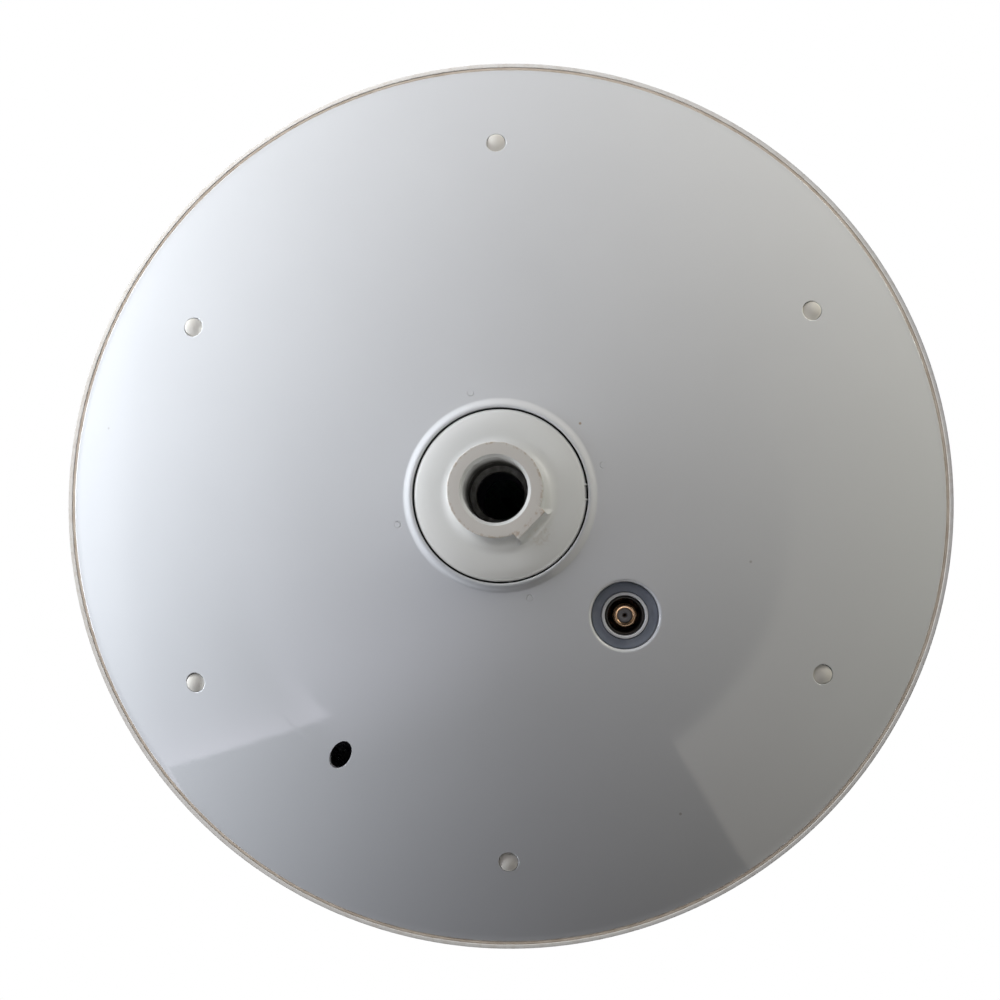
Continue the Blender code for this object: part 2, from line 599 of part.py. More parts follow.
def build_amplifier(materials):
    """The preamplifier board on its four posts, and the screening can over it."""
    bm = bmesh.new()
    top_z = BOARD_Z + BOARD_THICKNESS
    add_box(bm, (BOARD_X[0], -BOARD_HALF_WIDTH, BOARD_Z), (BOARD_X[1], BOARD_HALF_WIDTH, top_z))
    board = make_object("amp_board", bm, materials["board_green"])
    hole_row(board, BOARD_SCREWS, BOARD_HOLE_RADIUS, BOARD_Z - OVERCUT, top_z + OVERCUT)
    can_mesh = bmesh.new()
    low_z = top_z + GAP
    add_box(can_mesh, (CAN_X[0], -CAN_HALF_WIDTH, low_z), (CAN_X[1], CAN_HALF_WIDTH, low_z + CAN_HEIGHT))
    can = make_object("shield_can", can_mesh, materials["tinplate"])
    inside = bmesh.new()
    add_box(inside, (CAN_X[0] + CAN_WALL, -CAN_HALF_WIDTH + CAN_WALL, low_z - OVERCUT),
            (CAN_X[1] - CAN_WALL, CAN_HALF_WIDTH - CAN_WALL, low_z + CAN_HEIGHT - CAN_WALL))
    combine(can, inside, "DIFFERENCE")


def build_carrier(materials):
    """The plastic disc that carries the dipoles, with a stiffening rim and screw bosses below."""
    top = CARRIER_Z + CARRIER_THICKNESS
    skirt = CARRIER_Z - CARRIER_SKIRT
    rim = CARRIER_RADIUS - CARRIER_RIM_WIDTH
    outline = [(CARRIER_BORE_RADIUS, CARRIER_Z), (rim, CARRIER_Z), (rim, skirt), (CARRIER_RADIUS, skirt),
               (CARRIER_RADIUS, top), (CARRIER_BORE_RADIUS, top)]
    carrier = turned("element_carrier", outline, HUB_STEPS, materials["carrier_grey"])
    arm_places = [on_circle(radius, angle) for radius in ARM_SCREW_CIRCLES for angle in ARM_ANGLES]
    post_places = [on_circle(CARRIER_POST_CIRCLE, angle) for angle in CARRIER_POST_ANGLES]
    bosses = bmesh.new()
    for centre in arm_places:
        add_post(bosses, centre, ARM_BOSS_RADIUS, CARRIER_Z - 0.006, CARRIER_Z + 0.001, HOLE_STEPS)
    combine(carrier, bosses, "UNION")
    holes = bmesh.new()
    for centre in arm_places:
        add_post(holes, centre, ARM_PILOT_RADIUS, CARRIER_Z - 0.008, top + OVERCUT, HOLE_STEPS)
    for centre in post_places:
        add_post(holes, centre, CARRIER_HOLE_RADIUS, CARRIER_Z - OVERCUT, top + OVERCUT, HOLE_STEPS)
    combine(carrier, holes, "DIFFERENCE")


def build_arm(number, angle, materials):
    """One dipole arm: a tapered aluminium plate with its outer end folded down."""
    bm = bmesh.new()
    top = ARM_Z + ARM_THICKNESS
    rows = [(ARM_START, ARM_START_HALF_WIDTH, ARM_Z, top),
            (ARM_END - ARM_THICKNESS, ARM_END_HALF_WIDTH - 0.0002, ARM_Z, top),
            (ARM_END, ARM_END_HALF_WIDTH, ARM_Z, top)]
    sections = []
    for x, half_width, low, high in rows:
        corners = [(x, -half_width, low), (x, half_width, low), (x, half_width, high), (x, -half_width, high)]
        sections.append([bm.verts.new(corner) for corner in corners])
    for near, far in zip(sections, sections[1:]):
        for side in range(4):
            after = (side + 1) % 4
            if near is sections[1] and side == 0:
                continue
            bm.faces.new((near[side], near[after], far[after], far[side]))
    bm.faces.new(sections[0])
    bm.faces.new(sections[2])
    fold = []
    for section in sections[1:]:
        lowered = [bm.verts.new(vert.co - Vector((0.0, 0.0, ARM_FOLD))) for vert in section[:2]]
        fold.append(lowered)
    near, far = sections[1][:2], sections[2][:2]
    bm.faces.new((near[0], near[1], fold[0][1], fold[0][0]))
    bm.faces.new((far[0], far[1], fold[1][1], fold[1][0]))
    bm.faces.new((near[0], far[0], fold[1][0], fold[0][0]))
    bm.faces.new((near[1], far[1], fold[1][1], fold[0][1]))
    bm.faces.new((fold[0][0], fold[0][1], fold[1][1], fold[1][0]))
    arm = make_object(f"dipole_arm_{number}", bm, materials["aluminium"])
    arm.rotation_euler = (0.0, 0.0, angle)
    places = [on_circle(radius, angle) for radius in ARM_SCREW_CIRCLES]
    hole_row(arm, places, ARM_HOLE_RADIUS, ARM_Z - OVERCUT, top + OVERCUT)


def build_feed_board(materials):
    """The round board that joins the four arms."""
    top = FEED_BOARD_Z + BOARD_THICKNESS
    outline = [(0.0, FEED_BOARD_Z), (FEED_BOARD_RADIUS, FEED_BOARD_Z), (FEED_BOARD_RADIUS, top), (0.0, top)]
    board = turned("feed_board", outline, HUB_STEPS, materials["board_green"])
    places = [on_circle(ARM_SCREW_CIRCLES[0], angle) for angle in ARM_ANGLES]
    hole_row(board, places, ARM_HOLE_RADIUS, FEED_BOARD_Z - OVERCUT, top + OVERCUT)


# ---------------------------------------------------------------- cables

def smooth_route(knots, per_span):
    """Points of a Catmull-Rom curve through the knots."""
    knots = [Vector(knot) for knot in knots]
    padded = [2 * knots[0] - knots[1]] + knots + [2 * knots[-1] - knots[-2]]
    points = []
    for index in range(len(knots) - 1):
        before, start, end, after = padded[index:index + 4]
        for step in range(per_span):
            t = step / per_span
            point = (2 * start + (end - before) * t
                     + (2 * before - 5 * start + 4 * end - after) * t ** 2
                     + (3 * start - before - 3 * end + after) * t ** 3) / 2
            points.append(point)
    points.append(knots[-1])
    return points


def build_cable(name, knots, per_span, material):
    """A round cable along a smooth route."""
    curve = bpy.data.curves.new(name, "CURVE")
    curve.dimensions = "3D"
    curve.bevel_depth = CABLE_DIAMETER / 2
    curve.bevel_resolution = 2
    curve.use_fill_caps = True
    points = smooth_route(knots, per_span)
    spline = curve.splines.new("POLY")
    spline.points.add(len(points) - 1)
    for slot, point in zip(spline.points, points):
        slot.co = (*point, 1.0)
    curve.materials.append(material)
    cable = bpy.data.objects.new(name, curve)
    bpy.context.collection.objects.link(cable)


def build_cables(materials):
    """The jumper from socket to amplifier, and the cable from amplifier to feed board."""
    jack_end = WELL_FLOOR_Z + WELL_FLOOR_THICKNESS + 0.0060 + 2 * GAP
    board_top = BOARD_Z + BOARD_THICKNESS + GAP
    jumper = [(JACK_X, 0.0, jack_end), (JACK_X, 0.0, 0.0715), (0.0700, 0.0, 0.0765), (0.0767, 0.0, 0.0792),
              (0.0835, 0.0, 0.0765), (0.0855, 0.0, 0.0710), (0.0855, 0.0, board_top)]
    build_cable("coax_jumper", jumper, 3, materials["cable_black"])
    feed = [(0.0855, 0.0085, board_top), (0.0850, 0.0085, 0.072), (0.079, 0.0080, 0.0775),
            (0.067, 0.0065, 0.0765), (0.048, 0.0040, 0.0725), (0.028, 0.0015, 0.0700),
            (0.012, 0.0002, 0.0710), (0.0025, 0.0, 0.0780), (0.0, 0.0, 0.085),
            (0.0, 0.0, FEED_BOARD_Z - GAP)]
    build_cable("feed_cable", feed, 3, materials["cable_black"])


def main():
    """Clear the scene and build the antenna."""
    for obj in list(bpy.data.objects):
        bpy.data.objects.remove(obj)
    materials = make_materials()
    build_top_radome(materials)
    build_bottom_cover(materials)
    build_rim_seal(materials)
    build_hub(materials)
    build_screws(materials)
    build_plugs(materials)
    build_connector(materials)
    build_amplifier(materials)
    build_carrier(materials)
    for number, angle in enumerate(ARM_ANGLES, start=1):
        build_arm(number, angle, materials)
    build_feed_board(materials)
    build_cables(materials)


main()
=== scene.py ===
"""Looks of the omnidirectional marine antenna dome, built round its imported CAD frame.

Metres, +Z up, in the CAD frame: the origin is the centre of the mast ferrule's mouth and +X points
at the coaxial socket.  The camera looks up at the underside.
"""
import json
from math import asin, atan2, cos, degrees, hypot, pi, radians, remainder, sin, sqrt

import bmesh
import bpy
from mathutils import Matrix, Vector

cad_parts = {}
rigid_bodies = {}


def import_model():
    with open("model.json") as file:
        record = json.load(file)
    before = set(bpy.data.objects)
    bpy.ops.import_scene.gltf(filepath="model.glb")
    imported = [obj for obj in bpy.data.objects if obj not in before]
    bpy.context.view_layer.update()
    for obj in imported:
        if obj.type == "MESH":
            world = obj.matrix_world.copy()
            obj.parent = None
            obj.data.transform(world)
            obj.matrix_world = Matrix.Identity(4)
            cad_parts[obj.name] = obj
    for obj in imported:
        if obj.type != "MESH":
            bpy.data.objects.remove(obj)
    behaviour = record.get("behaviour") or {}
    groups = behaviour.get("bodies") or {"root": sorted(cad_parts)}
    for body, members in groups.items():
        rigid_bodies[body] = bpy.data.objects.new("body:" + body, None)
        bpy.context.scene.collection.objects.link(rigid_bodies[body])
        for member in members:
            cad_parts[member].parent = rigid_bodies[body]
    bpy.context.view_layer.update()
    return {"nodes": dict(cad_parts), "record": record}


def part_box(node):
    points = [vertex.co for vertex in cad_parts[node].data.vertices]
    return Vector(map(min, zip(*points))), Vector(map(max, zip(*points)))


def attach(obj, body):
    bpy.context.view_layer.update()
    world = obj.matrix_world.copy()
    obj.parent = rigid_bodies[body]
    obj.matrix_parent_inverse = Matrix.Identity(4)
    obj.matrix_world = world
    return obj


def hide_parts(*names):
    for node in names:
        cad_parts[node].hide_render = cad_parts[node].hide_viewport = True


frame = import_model()


def centre_of(node):
    """Middle of a CAD node's box."""
    low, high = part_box(node)
    return (low + high) / 2


def places_of(stem, count):
    """(x, y) of each numbered CAD node."""
    return [tuple(centre_of(f"{stem}_{number}").xy) for number in range(1, count + 1)]


# Places that the frame gives
RIM_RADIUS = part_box("top_radome")[1].x
RIM_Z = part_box("top_radome")[0].z
RIM_CENTRE = Vector((0.0, 0.0, RIM_Z))
DOME_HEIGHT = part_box("top_radome")[1].z - RIM_Z
COVER_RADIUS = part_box("bottom_cover")[1].x
COVER_RIM_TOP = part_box("bottom_cover")[1].z
FLANGE_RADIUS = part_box("hub_clamp_ring")[1].x
FLANGE_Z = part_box("hub_gasket")[1].z + 0.0003
HUB_TOP_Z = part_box("mount_hub")[1].z
CLAMP_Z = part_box("hub_clamp_ring")[0].z
LAND_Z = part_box("hub_gasket")[0].z - 0.0003
CARRIER_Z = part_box("element_carrier")[1].z - 0.003
BOARD_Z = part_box("amp_board")[0].z
JACK = centre_of("jack_body").xy
JACK_LOW_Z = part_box("jack_body")[0].z
JACK_TOP_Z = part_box("jack_body")[1].z
PLUGS = places_of("screw_plug", 6)
HUB_SCREWS = places_of("hub_screw", 4)
CARRIER_POSTS = places_of("carrier_screw", 4)
BOARD_POSTS = places_of("board_screw", 4)
OPENINGS = {opening["name"]: opening["box_m"] for opening in frame["record"]["physics"]["openings"]}
DRAIN = (sum(map(Vector, OPENINGS["drain_hole"]), Vector()) / 2).xy

# Shells
DOME_WALL = 0.0028
DOME_POWER = 2.2
LIP_INNER_RADIUS = 0.1833
LIP_LEDGE_RADIUS = 0.1785
LIP_LEDGE_Z = 0.0758
COVER_APEX_Z = 0.0375
COVER_CURVE = 1.03               # the underside rises by r * r / COVER_CURVE
COVER_WALL = 0.003
HUB_HOLE_RADIUS = 0.0346
COLLAR_Z = 0.0376                # lowest line of the collar round the hub
COLLAR_CREST_RADIUS = 0.0353
COLLAR_FOOT_RADIUS = 0.0387
LAND_RADIUS = 0.050
RIM_EDGE = 0.0005

# Hub
BOSS_RADIUS = 0.0175
BOSS_FOOT_RADIUS = 0.0179
BOSS_FILLET = 0.006
BOSS_EDGE = 0.0004
MOUTH_RADIUS = 0.01305
THREAD_MINOR_RADIUS = 0.0119
THREAD_MAJOR_RADIUS = 0.0126
THREAD_PITCH = 0.0254 / 14
THREAD_END_Z = 0.032
STEP_Z = 0.0435
INNER_HOLE_RADIUS = 0.0095
PAD_REACH = 0.0186
PAD_HALF_WIDTH = 0.0069
PAD_FADE = 0.6                   # share of the fillet over which the pad runs out
DISC_RADIUS = 0.0339
NIB_ANGLES = (-51.0, -41.0)
NIB_REACH = 0.0006
NIB_RELIEF = 0.0002
DISC_Z = 0.0384

# Rim screws and plugs
PLUG_RADIUS = 0.0038
RECESS_RADIUS = 0.0040
PLUG_EDGE_Z = 0.0593
PLUG_CROWN = 0.0008
SEAT_Z = 0.068
SEAT_TOP_Z = SEAT_Z + 0.0025

# Screw bosses and the holes in them, as radii
DOME_POST = 0.005
DOME_POST_HOLE = 0.0023
RIM_BOSS = 0.0065
RIM_BOSS_HOLE = 0.0024
HUB_BOSS = 0.0036
HUB_BOSS_HOLE = 0.0019
FLANGE_HOLE = 0.0040
CARRIER_BOSS = 0.0045
CARRIER_BOSS_HOLE = 0.0017
BOARD_BOSS = 0.0032
BOARD_BOSS_HOLE = 0.0014
WITNESS_MARK = [(0.0009, -0.001), (0.0016, -0.001), (0.0016, 0.0), (0.00125, 0.0002), (0.0009, 0.0)]

# Edges of the cover's holes, and the drain hole
RECESS_EDGE = 0.00045
DRAIN_EDGE = 0.00012
DRAIN_HALF_LENGTH = 0.0062
DRAIN_HALF_WIDTH = 0.0040

AXIS = (0.0, 0.0)
PAD_SHADOW_MIDDLE = (0.0215, 0.0)        # middle of the painted shadow below the pad
SPECK = (0.0031, -0.0421)        # a speck of dirt by the hub

# Socket
JACK_RADIUS = 0.0047
JACK_BORE_RADIUS = 0.0031
JACK_PITCH = 0.0254 / 32
JACK_THREAD_DEPTH = 0.00042
POCKET_RADIUS = 0.0133
POCKET_EDGE = 0.0014
POCKET_FLOOR_Z = 0.0465
COLLAR_END_Z = 0.0439
COLLAR_RADIUS = 0.0091
WELL_RADIUS = 0.0079
WELL_FLOOR_Z = 0.0595
WELL_TOP_Z = WELL_FLOOR_Z + 0.0025
WELL_EDGE = 0.0003
SOCKET_HOLE_RADIUS = 0.0052

SHELL_STEPS = 256                # facets round the big shells
POCKET_STEPS = 96                # and round the socket's pocket
WELD_DISTANCE = 0.000001


# ---- surfaces

def cover_outer(radius):
    """Height of the bottom cover's outer face."""
    return COVER_APEX_Z + radius ** 2 / COVER_CURVE


def cover_inner(radius):
    """Height of the bottom cover's inner face."""
    return cover_outer(radius) + COVER_WALL


def cover_middle(radius):
    """Height halfway through the bottom cover's wall."""
    return cover_outer(radius) + COVER_WALL / 2


def cover_normal(x, y):
    """Normal of the bottom cover's outer face."""
    return Vector((2 * x / COVER_CURVE, 2 * y / COVER_CURVE, -1.0)).normalized()


def dome_point(inset, turn):
    """A point of the dome's section; turn runs from rim to crown."""
    power = 2 / DOME_POWER
    radius = (RIM_RADIUS - inset) * cos(turn) ** power
    height = (DOME_HEIGHT - inset) * sin(turn) ** power
    return radius, RIM_Z + height


def dome_middle(radius):
    """Height halfway through the dome's wall."""
    share = (radius / (RIM_RADIUS - DOME_WALL / 2)) ** DOME_POWER
    return RIM_Z + (DOME_HEIGHT - DOME_WALL / 2) * (1 - share) ** (1 / DOME_POWER)


def arc(centre, radius, start, end, steps):
    """(radius, z) points on an arc, angles in degrees."""
    points = []
    for step in range(steps + 1):
        angle = radians(start + (end - start) * step / steps)
        points.append((centre[0] + radius * cos(angle), centre[1] + radius * sin(angle)))
    return points


def even_angles(steps):
    """Angles spread evenly over a full turn."""
    return [2 * pi * step / steps for step in range(steps)]


# ---- mesh tools

def finish_mesh(name, bm, smooth_angle=35):
    """Turn a bmesh into a smooth-shaded object with outward faces."""
    bmesh.ops.recalc_face_normals(bm, faces=bm.faces)
    mesh = bpy.data.meshes.new(name)
    bm.to_mesh(mesh)
    bm.free()
    obj = bpy.data.objects.new(name, mesh)
    bpy.context.collection.objects.link(obj)
    reshade(obj, smooth_angle)
    return obj


def reshade(obj, smooth_angle=35):
    """Smooth shading with sharp edges above an angle."""
    obj.data.shade_smooth()
    obj.data.set_sharp_from_angle(angle=radians(smooth_angle))


def add_turned(bm, outline, angles, centre=(0.0, 0.0)):
    """Sweep closed (radius, z) points about a vertical axis; either may depend on the angle."""
    rings = []
    for radius, z in outline:
        on_axis = not callable(radius) and radius <= 0
        ring = []
        for angle in angles[:1] if on_axis else angles:
            reach = radius(angle) if callable(radius) else radius
            x = centre[0] + reach * cos(angle)
            y = centre[1] + reach * sin(angle)
            ring.append(bm.verts.new((x, y, z(angle) if callable(z) else z)))
        rings.append(ring)
    count = len(angles)
    for low, high in zip(rings, rings[1:] + rings[:1]):
        if len(low) == 1 and len(high) == 1:
            continue
        for step in range(count):
            after = (step + 1) % count
            corners = [low[step % len(low)], low[after % len(low)],
                       high[after % len(high)], high[step % len(high)]]
            bm.faces.new(list(dict.fromkeys(corners)))


def turned(name, outline, steps, centre=(0.0, 0.0), smooth_angle=35):
    """An object turned about the vertical axis through centre."""
    bm = bmesh.new()
    add_turned(bm, outline, even_angles(steps), centre)
    return finish_mesh(name, bm, smooth_angle)


def add_loft(bm, rings):
    """Skin a stack of closed rings of points, with fanned ends."""
    made = [[bm.verts.new(point) for point in ring] for ring in rings]
    count = len(made[0])
    for low, high in zip(made, made[1:]):
        for step in range(count):
            after = (step + 1) % count
            bm.faces.new((low[step], low[after], high[after], high[step]))
    for ring in (made[0], made[-1]):
        middle = sum((vert.co for vert in ring), Vector()) / count
        tip = bm.verts.new(middle)
        for step in range(count):
            bm.faces.new((ring[step], ring[(step + 1) % count], tip))


def ring_on(centre, level, steps, across, along, turn=0.0):
    """An oval ring about centre; a level is a height, or a surface and an offset from it."""
    points = []
    for angle in even_angles(steps):
        out = along * cos(angle)
        side = across * sin(angle)
        x = centre[0] + out * cos(turn) - side * sin(turn)
        y = centre[1] + out * sin(turn) + side * cos(turn)
        if isinstance(level, tuple):
            points.append((x, y, level[0](hypot(x, y)) + level[1]))
        else:
            points.append((x, y, level))
    return points


def add_posts(bm, centres, radius, low, high, steps=32):
    """The same vertical post, between two levels, at each of several places."""
    for centre in centres:
        add_loft(bm, [ring_on(centre, level, steps, radius, radius) for level in (low, high)])


def add_rounded_hole(bm, centre, across, along, edge, top_z, steps=64, turn=0.0):
    """A cutter for a vertical hole in the bottom cover's outer face, with a rounded edge."""
    rings = [ring_on(centre, (cover_outer, -0.002), steps, across + edge, along + edge, turn)]
    for step in range(7):
        angle = radians(15 * step)
        more = edge * (1 - sin(angle))
        depth = edge * (1 - cos(angle)) - 0.00001 * (step == 0)
        rings.append(ring_on(centre, (cover_outer, depth), steps, across + more, along + more, turn))
    rings.append(ring_on(centre, top_z, steps, across, along, turn))
    add_loft(bm, rings)


def apply_boolean(target, bm, operation):
    """Unite a body with the target, or cut it out, and keep the result as the target's mesh."""
    tool = finish_mesh("tool", bm)
    modifier = target.modifiers.new("boolean", "BOOLEAN")
    modifier.operation = operation
    modifier.object = tool
    modifier.solver = "MANIFOLD"
    depsgraph = bpy.context.evaluated_depsgraph_get()
    mesh = bpy.data.meshes.new_from_object(target.evaluated_get(depsgraph))
    target.modifiers.clear()
    target.data = mesh
    bpy.data.objects.remove(tool)
    welded = bmesh.new()
    welded.from_mesh(mesh)
    bmesh.ops.remove_doubles(welded, verts=welded.verts, dist=WELD_DISTANCE)
    welded.to_mesh(mesh)
    welded.free()


def lay_normals_on_cover(obj):
    """Give the crowned outer face its exact normals, so that cuts in it don't disturb its gloss."""
    mesh = obj.data
    normals = [Vector(corner.vector) for corner in mesh.corner_normals]
    for face in mesh.polygons:
        for index in face.loop_indices:
            point = mesh.vertices[mesh.loops[index].vertex_index].co
            radius = hypot(point.x, point.y)
            if not COLLAR_FOOT_RADIUS - 0.0001 < radius < COVER_RADIUS - 0.001:
                continue
            exact = cover_normal(point.x, point.y)
            if abs(point.z - cover_outer(radius)) < 0.00003 and face.normal.dot(exact) > 0.8:
                normals[index] = exact
    mesh.normals_split_custom_set(normals)


# ---- material tools

def add_node(tree, kind, inputs=None, **settings):
    """Add a shader node; an input may be a value or another node's output."""
    made = tree.nodes.new("ShaderNode" + kind)
    for key, value in settings.items():
        setattr(made, key, value)
    for socket, value in (inputs or {}).items():
        if isinstance(value, bpy.types.NodeSocket):
            tree.links.new(value, made.inputs[socket])
        else:
            made.inputs[socket].default_value = value
    return made


def surface_point(tree):
    """Position on the piece, in metres."""
    return add_node(tree, "TexCoord").outputs["Object"]


def stretched(tree, point, scale, turn=0.0):
    """The position turned about Z and scaled."""
    inputs = {"Vector": point, "Scale": scale, "Rotation": (0.0, 0.0, turn)}
    return add_node(tree, "Mapping", inputs).outputs["Vector"]


def noise(tree, point, scale, detail=2.0, roughness=0.5):
    """Cloudy noise between 0 and 1."""
    inputs = {"Vector": point, "Scale": scale, "Detail": detail, "Roughness": roughness}
    return add_node(tree, "TexNoise", inputs).outputs["Fac"]


def spots(tree, point, scale):
    """Distance to the nearest of a scatter of points, in cells."""
    inputs = {"Vector": point, "Scale": scale}
    return add_node(tree, "TexVoronoi", inputs).outputs["Distance"]


def ramp(tree, value, low, high, start=0.0, end=1.0):
    """Smooth step of a value from start at low to end at high."""
    inputs = {"Value": value, "From Min": low, "From Max": high, "To Min": start, "To Max": end}
    made = add_node(tree, "MapRange", inputs, interpolation_type="SMOOTHSTEP")
    return made.outputs["Result"]


def maths(tree, operation, value, *others):
    """Arithmetic from left to right; an operation on one value needs no others."""
    for other in others or (0.0,):
        value = add_node(tree, "Math", {0: value, 1: other}, operation=operation).outputs[0]
    return value


def times(tree, *factors):
    """Product from left to right."""
    return maths(tree, "MULTIPLY", *factors)


def blended(tree, share, *colours):
    """Mix of two colours; a plain one gets full alpha."""
    first, second = ((*colour, 1.0) if isinstance(colour, tuple) else colour for colour in colours)
    return add_node(tree, "Mix", {"Factor": share, 6: first, 7: second}, data_type="RGBA").outputs[2]


def vector_maths(tree, operation, *vectors):
    """One step of vector arithmetic, as a node."""
    return add_node(tree, "VectorMath", dict(enumerate(vectors)), operation=operation)


def distance_from(tree, point, centre):
    """Distance from a vertical line, in metres."""
    shifted = vector_maths(tree, "SUBTRACT", point, (*centre, 0.0)).outputs[0]
    flat = vector_maths(tree, "MULTIPLY", shifted, (1.0, 1.0, 0.0)).outputs[0]
    return vector_maths(tree, "LENGTH", flat).outputs["Value"]


def height_of(tree, point):
    """Height above the ferrule's mouth, in metres."""
    return add_node(tree, "SeparateXYZ", {"Vector": point}).outputs["Z"]


DUST_BROWN = (0.23, 0.19, 0.15)
# Brown for dirt, and for the painted shadow below the hub's pad
DIRT_AND_SHADOW_BROWN = (0.42, 0.33, 0.24)
# Painted shade deep in the ferrule's bore
BORE_SHADE_BLACK = (0.040, 0.038, 0.030)
# Painted shade deep in the socket's well
WELL_SHADE_BROWN = (0.07, 0.035, 0.018)


def start_material(name, metallic=0.0, ior=1.5):
    """A material's node tree and its shader."""
    material = bpy.data.materials.new(name)
    material.use_nodes = True
    tree = material.node_tree
    shader = tree.nodes["Principled BSDF"]
    shader.inputs["Metallic"].default_value = metallic
    shader.inputs["IOR"].default_value = ior
    return material, tree, shader


def set_surface(tree, shader, colour, roughness, height, relief):
    """Wire colour, roughness and a bump whose full height is relief, in metres."""
    tree.links.new(colour, shader.inputs["Base Color"])
    tree.links.new(roughness, shader.inputs["Roughness"])
    bump = add_node(tree, "Bump", {"Height": height, "Distance": relief, "Strength": 1.0})
    tree.links.new(bump.outputs["Normal"], shader.inputs["Normal"])


def moulded_plastic(name, colour, shade, gloss, peel=0.000012, specks=0.5, dirt_and_shade=None, depth_shade=None):
    """Glossy moulded plastic: faint orange peel, dust specks, hairline scratches, soiling with painted
    shadow, and painted shade where given.
    """
    material, tree, shader = start_material(name)
    point = surface_point(tree)
    clouds = noise(tree, point, 11.0, 3.0, 0.55)
    tint = blended(tree, ramp(tree, clouds, 0.3, 0.7), colour, shade)
    dust = ramp(tree, spots(tree, point, 95.0), 0.035, 0.075, 1.0, 0.0)
    thin_out = ramp(tree, noise(tree, point, 60.0), 0.60, 0.70)
    dots = times(tree, dust, thin_out, specks)
    tint = blended(tree, dots, tint, DUST_BROWN)
    # Dirt, and where the mask holds it painted shadow, blended towards brown
    if dirt_and_shade:
        tint = blended(tree, dirt_and_shade(tree, point), tint, DIRT_AND_SHADOW_BROWN)
    # Painted shade, where given, blended towards near black
    if depth_shade:
        tint = blended(tree, depth_shade(tree, point), tint, BORE_SHADE_BLACK)
    long_way = stretched(tree, point, (6.0, 420.0, 6.0), 0.9)
    other_way = stretched(tree, point, (520.0, 9.0, 9.0), 0.35)
    hair = maths(tree, "MAXIMUM", ramp(tree, noise(tree, long_way, 1.0, 1.0), 0.735, 0.75),
                 ramp(tree, noise(tree, other_way, 1.0, 1.0), 0.745, 0.76))
    rubbed = times(tree, hair, ramp(tree, noise(tree, point, 7.0), 0.5, 0.62))
    haze = ramp(tree, noise(tree, point, 26.0, 4.0, 0.6), 0.25, 0.8, gloss * 0.85, gloss * 1.25)
    rough = maths(tree, "ADD", haze, times(tree, rubbed, 0.12), times(tree, dots, 0.4))
    peel_height = noise(tree, point, 190.0, 1.5, 0.4)
    waves = times(tree, noise(tree, point, 34.0, 1.0, 0.3), 2.2)
    grain = times(tree, noise(tree, point, 2600.0, 1.0), 0.05)
    height = maths(tree, "ADD", peel_height, waves, grain)
    height = maths(tree, "SUBTRACT", height, times(tree, rubbed, 0.08))
    set_surface(tree, shader, tint, rough, height, peel)
    return material


def rubber(name, colour, shade, gloss, relief):
    """Moulded rubber: fine pores and chalky clouds."""
    material, tree, shader = start_material(name, ior=1.45)
    point = surface_point(tree)
    clouds = noise(tree, point, 160.0, 4.0, 0.65)
    tint = blended(tree, ramp(tree, clouds, 0.3, 0.72), colour, shade)
    pores = ramp(tree, spots(tree, point, 2400.0), 0.1, 0.4)
    rough = ramp(tree, noise(tree, point, 420.0, 3.0), 0.3, 0.75, gloss * 0.85, min(1.0, gloss * 1.15))
    height = maths(tree, "ADD", times(tree, pores, 0.4), noise(tree, point, 1500.0, 3.0))
    set_surface(tree, shader, tint, rough, height, relief)
    return material


def metal(name, colour, shade, gloss, scale=(900.0, 900.0, 900.0), relief=0.000004, dirt_and_shade=None):
    """Plated or turned metal: fine tool marks, tarnish clouds, pits, and painted shade where given."""
    material, tree, shader = start_material(name, metallic=1.0)
    point = surface_point(tree)
    marks = noise(tree, stretched(tree, point, scale), 1.0, 3.0, 0.6)
    tarnish = ramp(tree, noise(tree, point, 240.0, 4.0, 0.6), 0.35, 0.75)
    tint = blended(tree, tarnish, colour, shade)
    # Painted shade, where given, blended towards dark brown
    if dirt_and_shade:
        tint = blended(tree, dirt_and_shade(tree, point), tint, WELL_SHADE_BROWN)
    rough = ramp(tree, maths(tree, "ADD", marks, times(tree, tarnish, 0.5)), 0.4, 1.2,
                 gloss * 0.7, gloss * 1.5)
    pits = ramp(tree, spots(tree, point, 1300.0), 0.05, 0.2)
    height = maths(tree, "ADD", marks, times(tree, pits, 0.5))
    set_surface(tree, shader, tint, rough, height, relief)
    return material


def circuit_board(name):
    """Green solder mask over copper tracks, with a glass-weave texture."""
    material, tree, shader = start_material(name)
    point = surface_point(tree)
    tracks = add_node(tree, "TexBrick",
                      {"Vector": stretched(tree, point, (170.0, 170.0, 170.0)), "Scale": 1.0,
                       "Mortar Size": 0.09, "Mortar Smooth": 0.2, "Brick Width": 0.9, "Row Height": 0.42})
    copper = ramp(tree, tracks.outputs["Fac"], 0.3, 0.7)
    mask = blended(tree, copper, (0.012, 0.10, 0.045), (0.03, 0.19, 0.08))
    clouds = ramp(tree, noise(tree, point, 90.0, 3.0), 0.3, 0.7)
    tint = blended(tree, clouds, mask, (0.015, 0.12, 0.05))
    weave = add_node(tree, "TexWave", {"Vector": point, "Scale": 900.0, "Distortion": 0.5})
    rough = ramp(tree, noise(tree, point, 300.0, 2.0), 0.3, 0.7, 0.28, 0.45)
    height = maths(tree, "ADD", times(tree, copper, 2.0), weave.outputs["Fac"])
    set_surface(tree, shader, tint, rough, height, 0.00002)
    return material


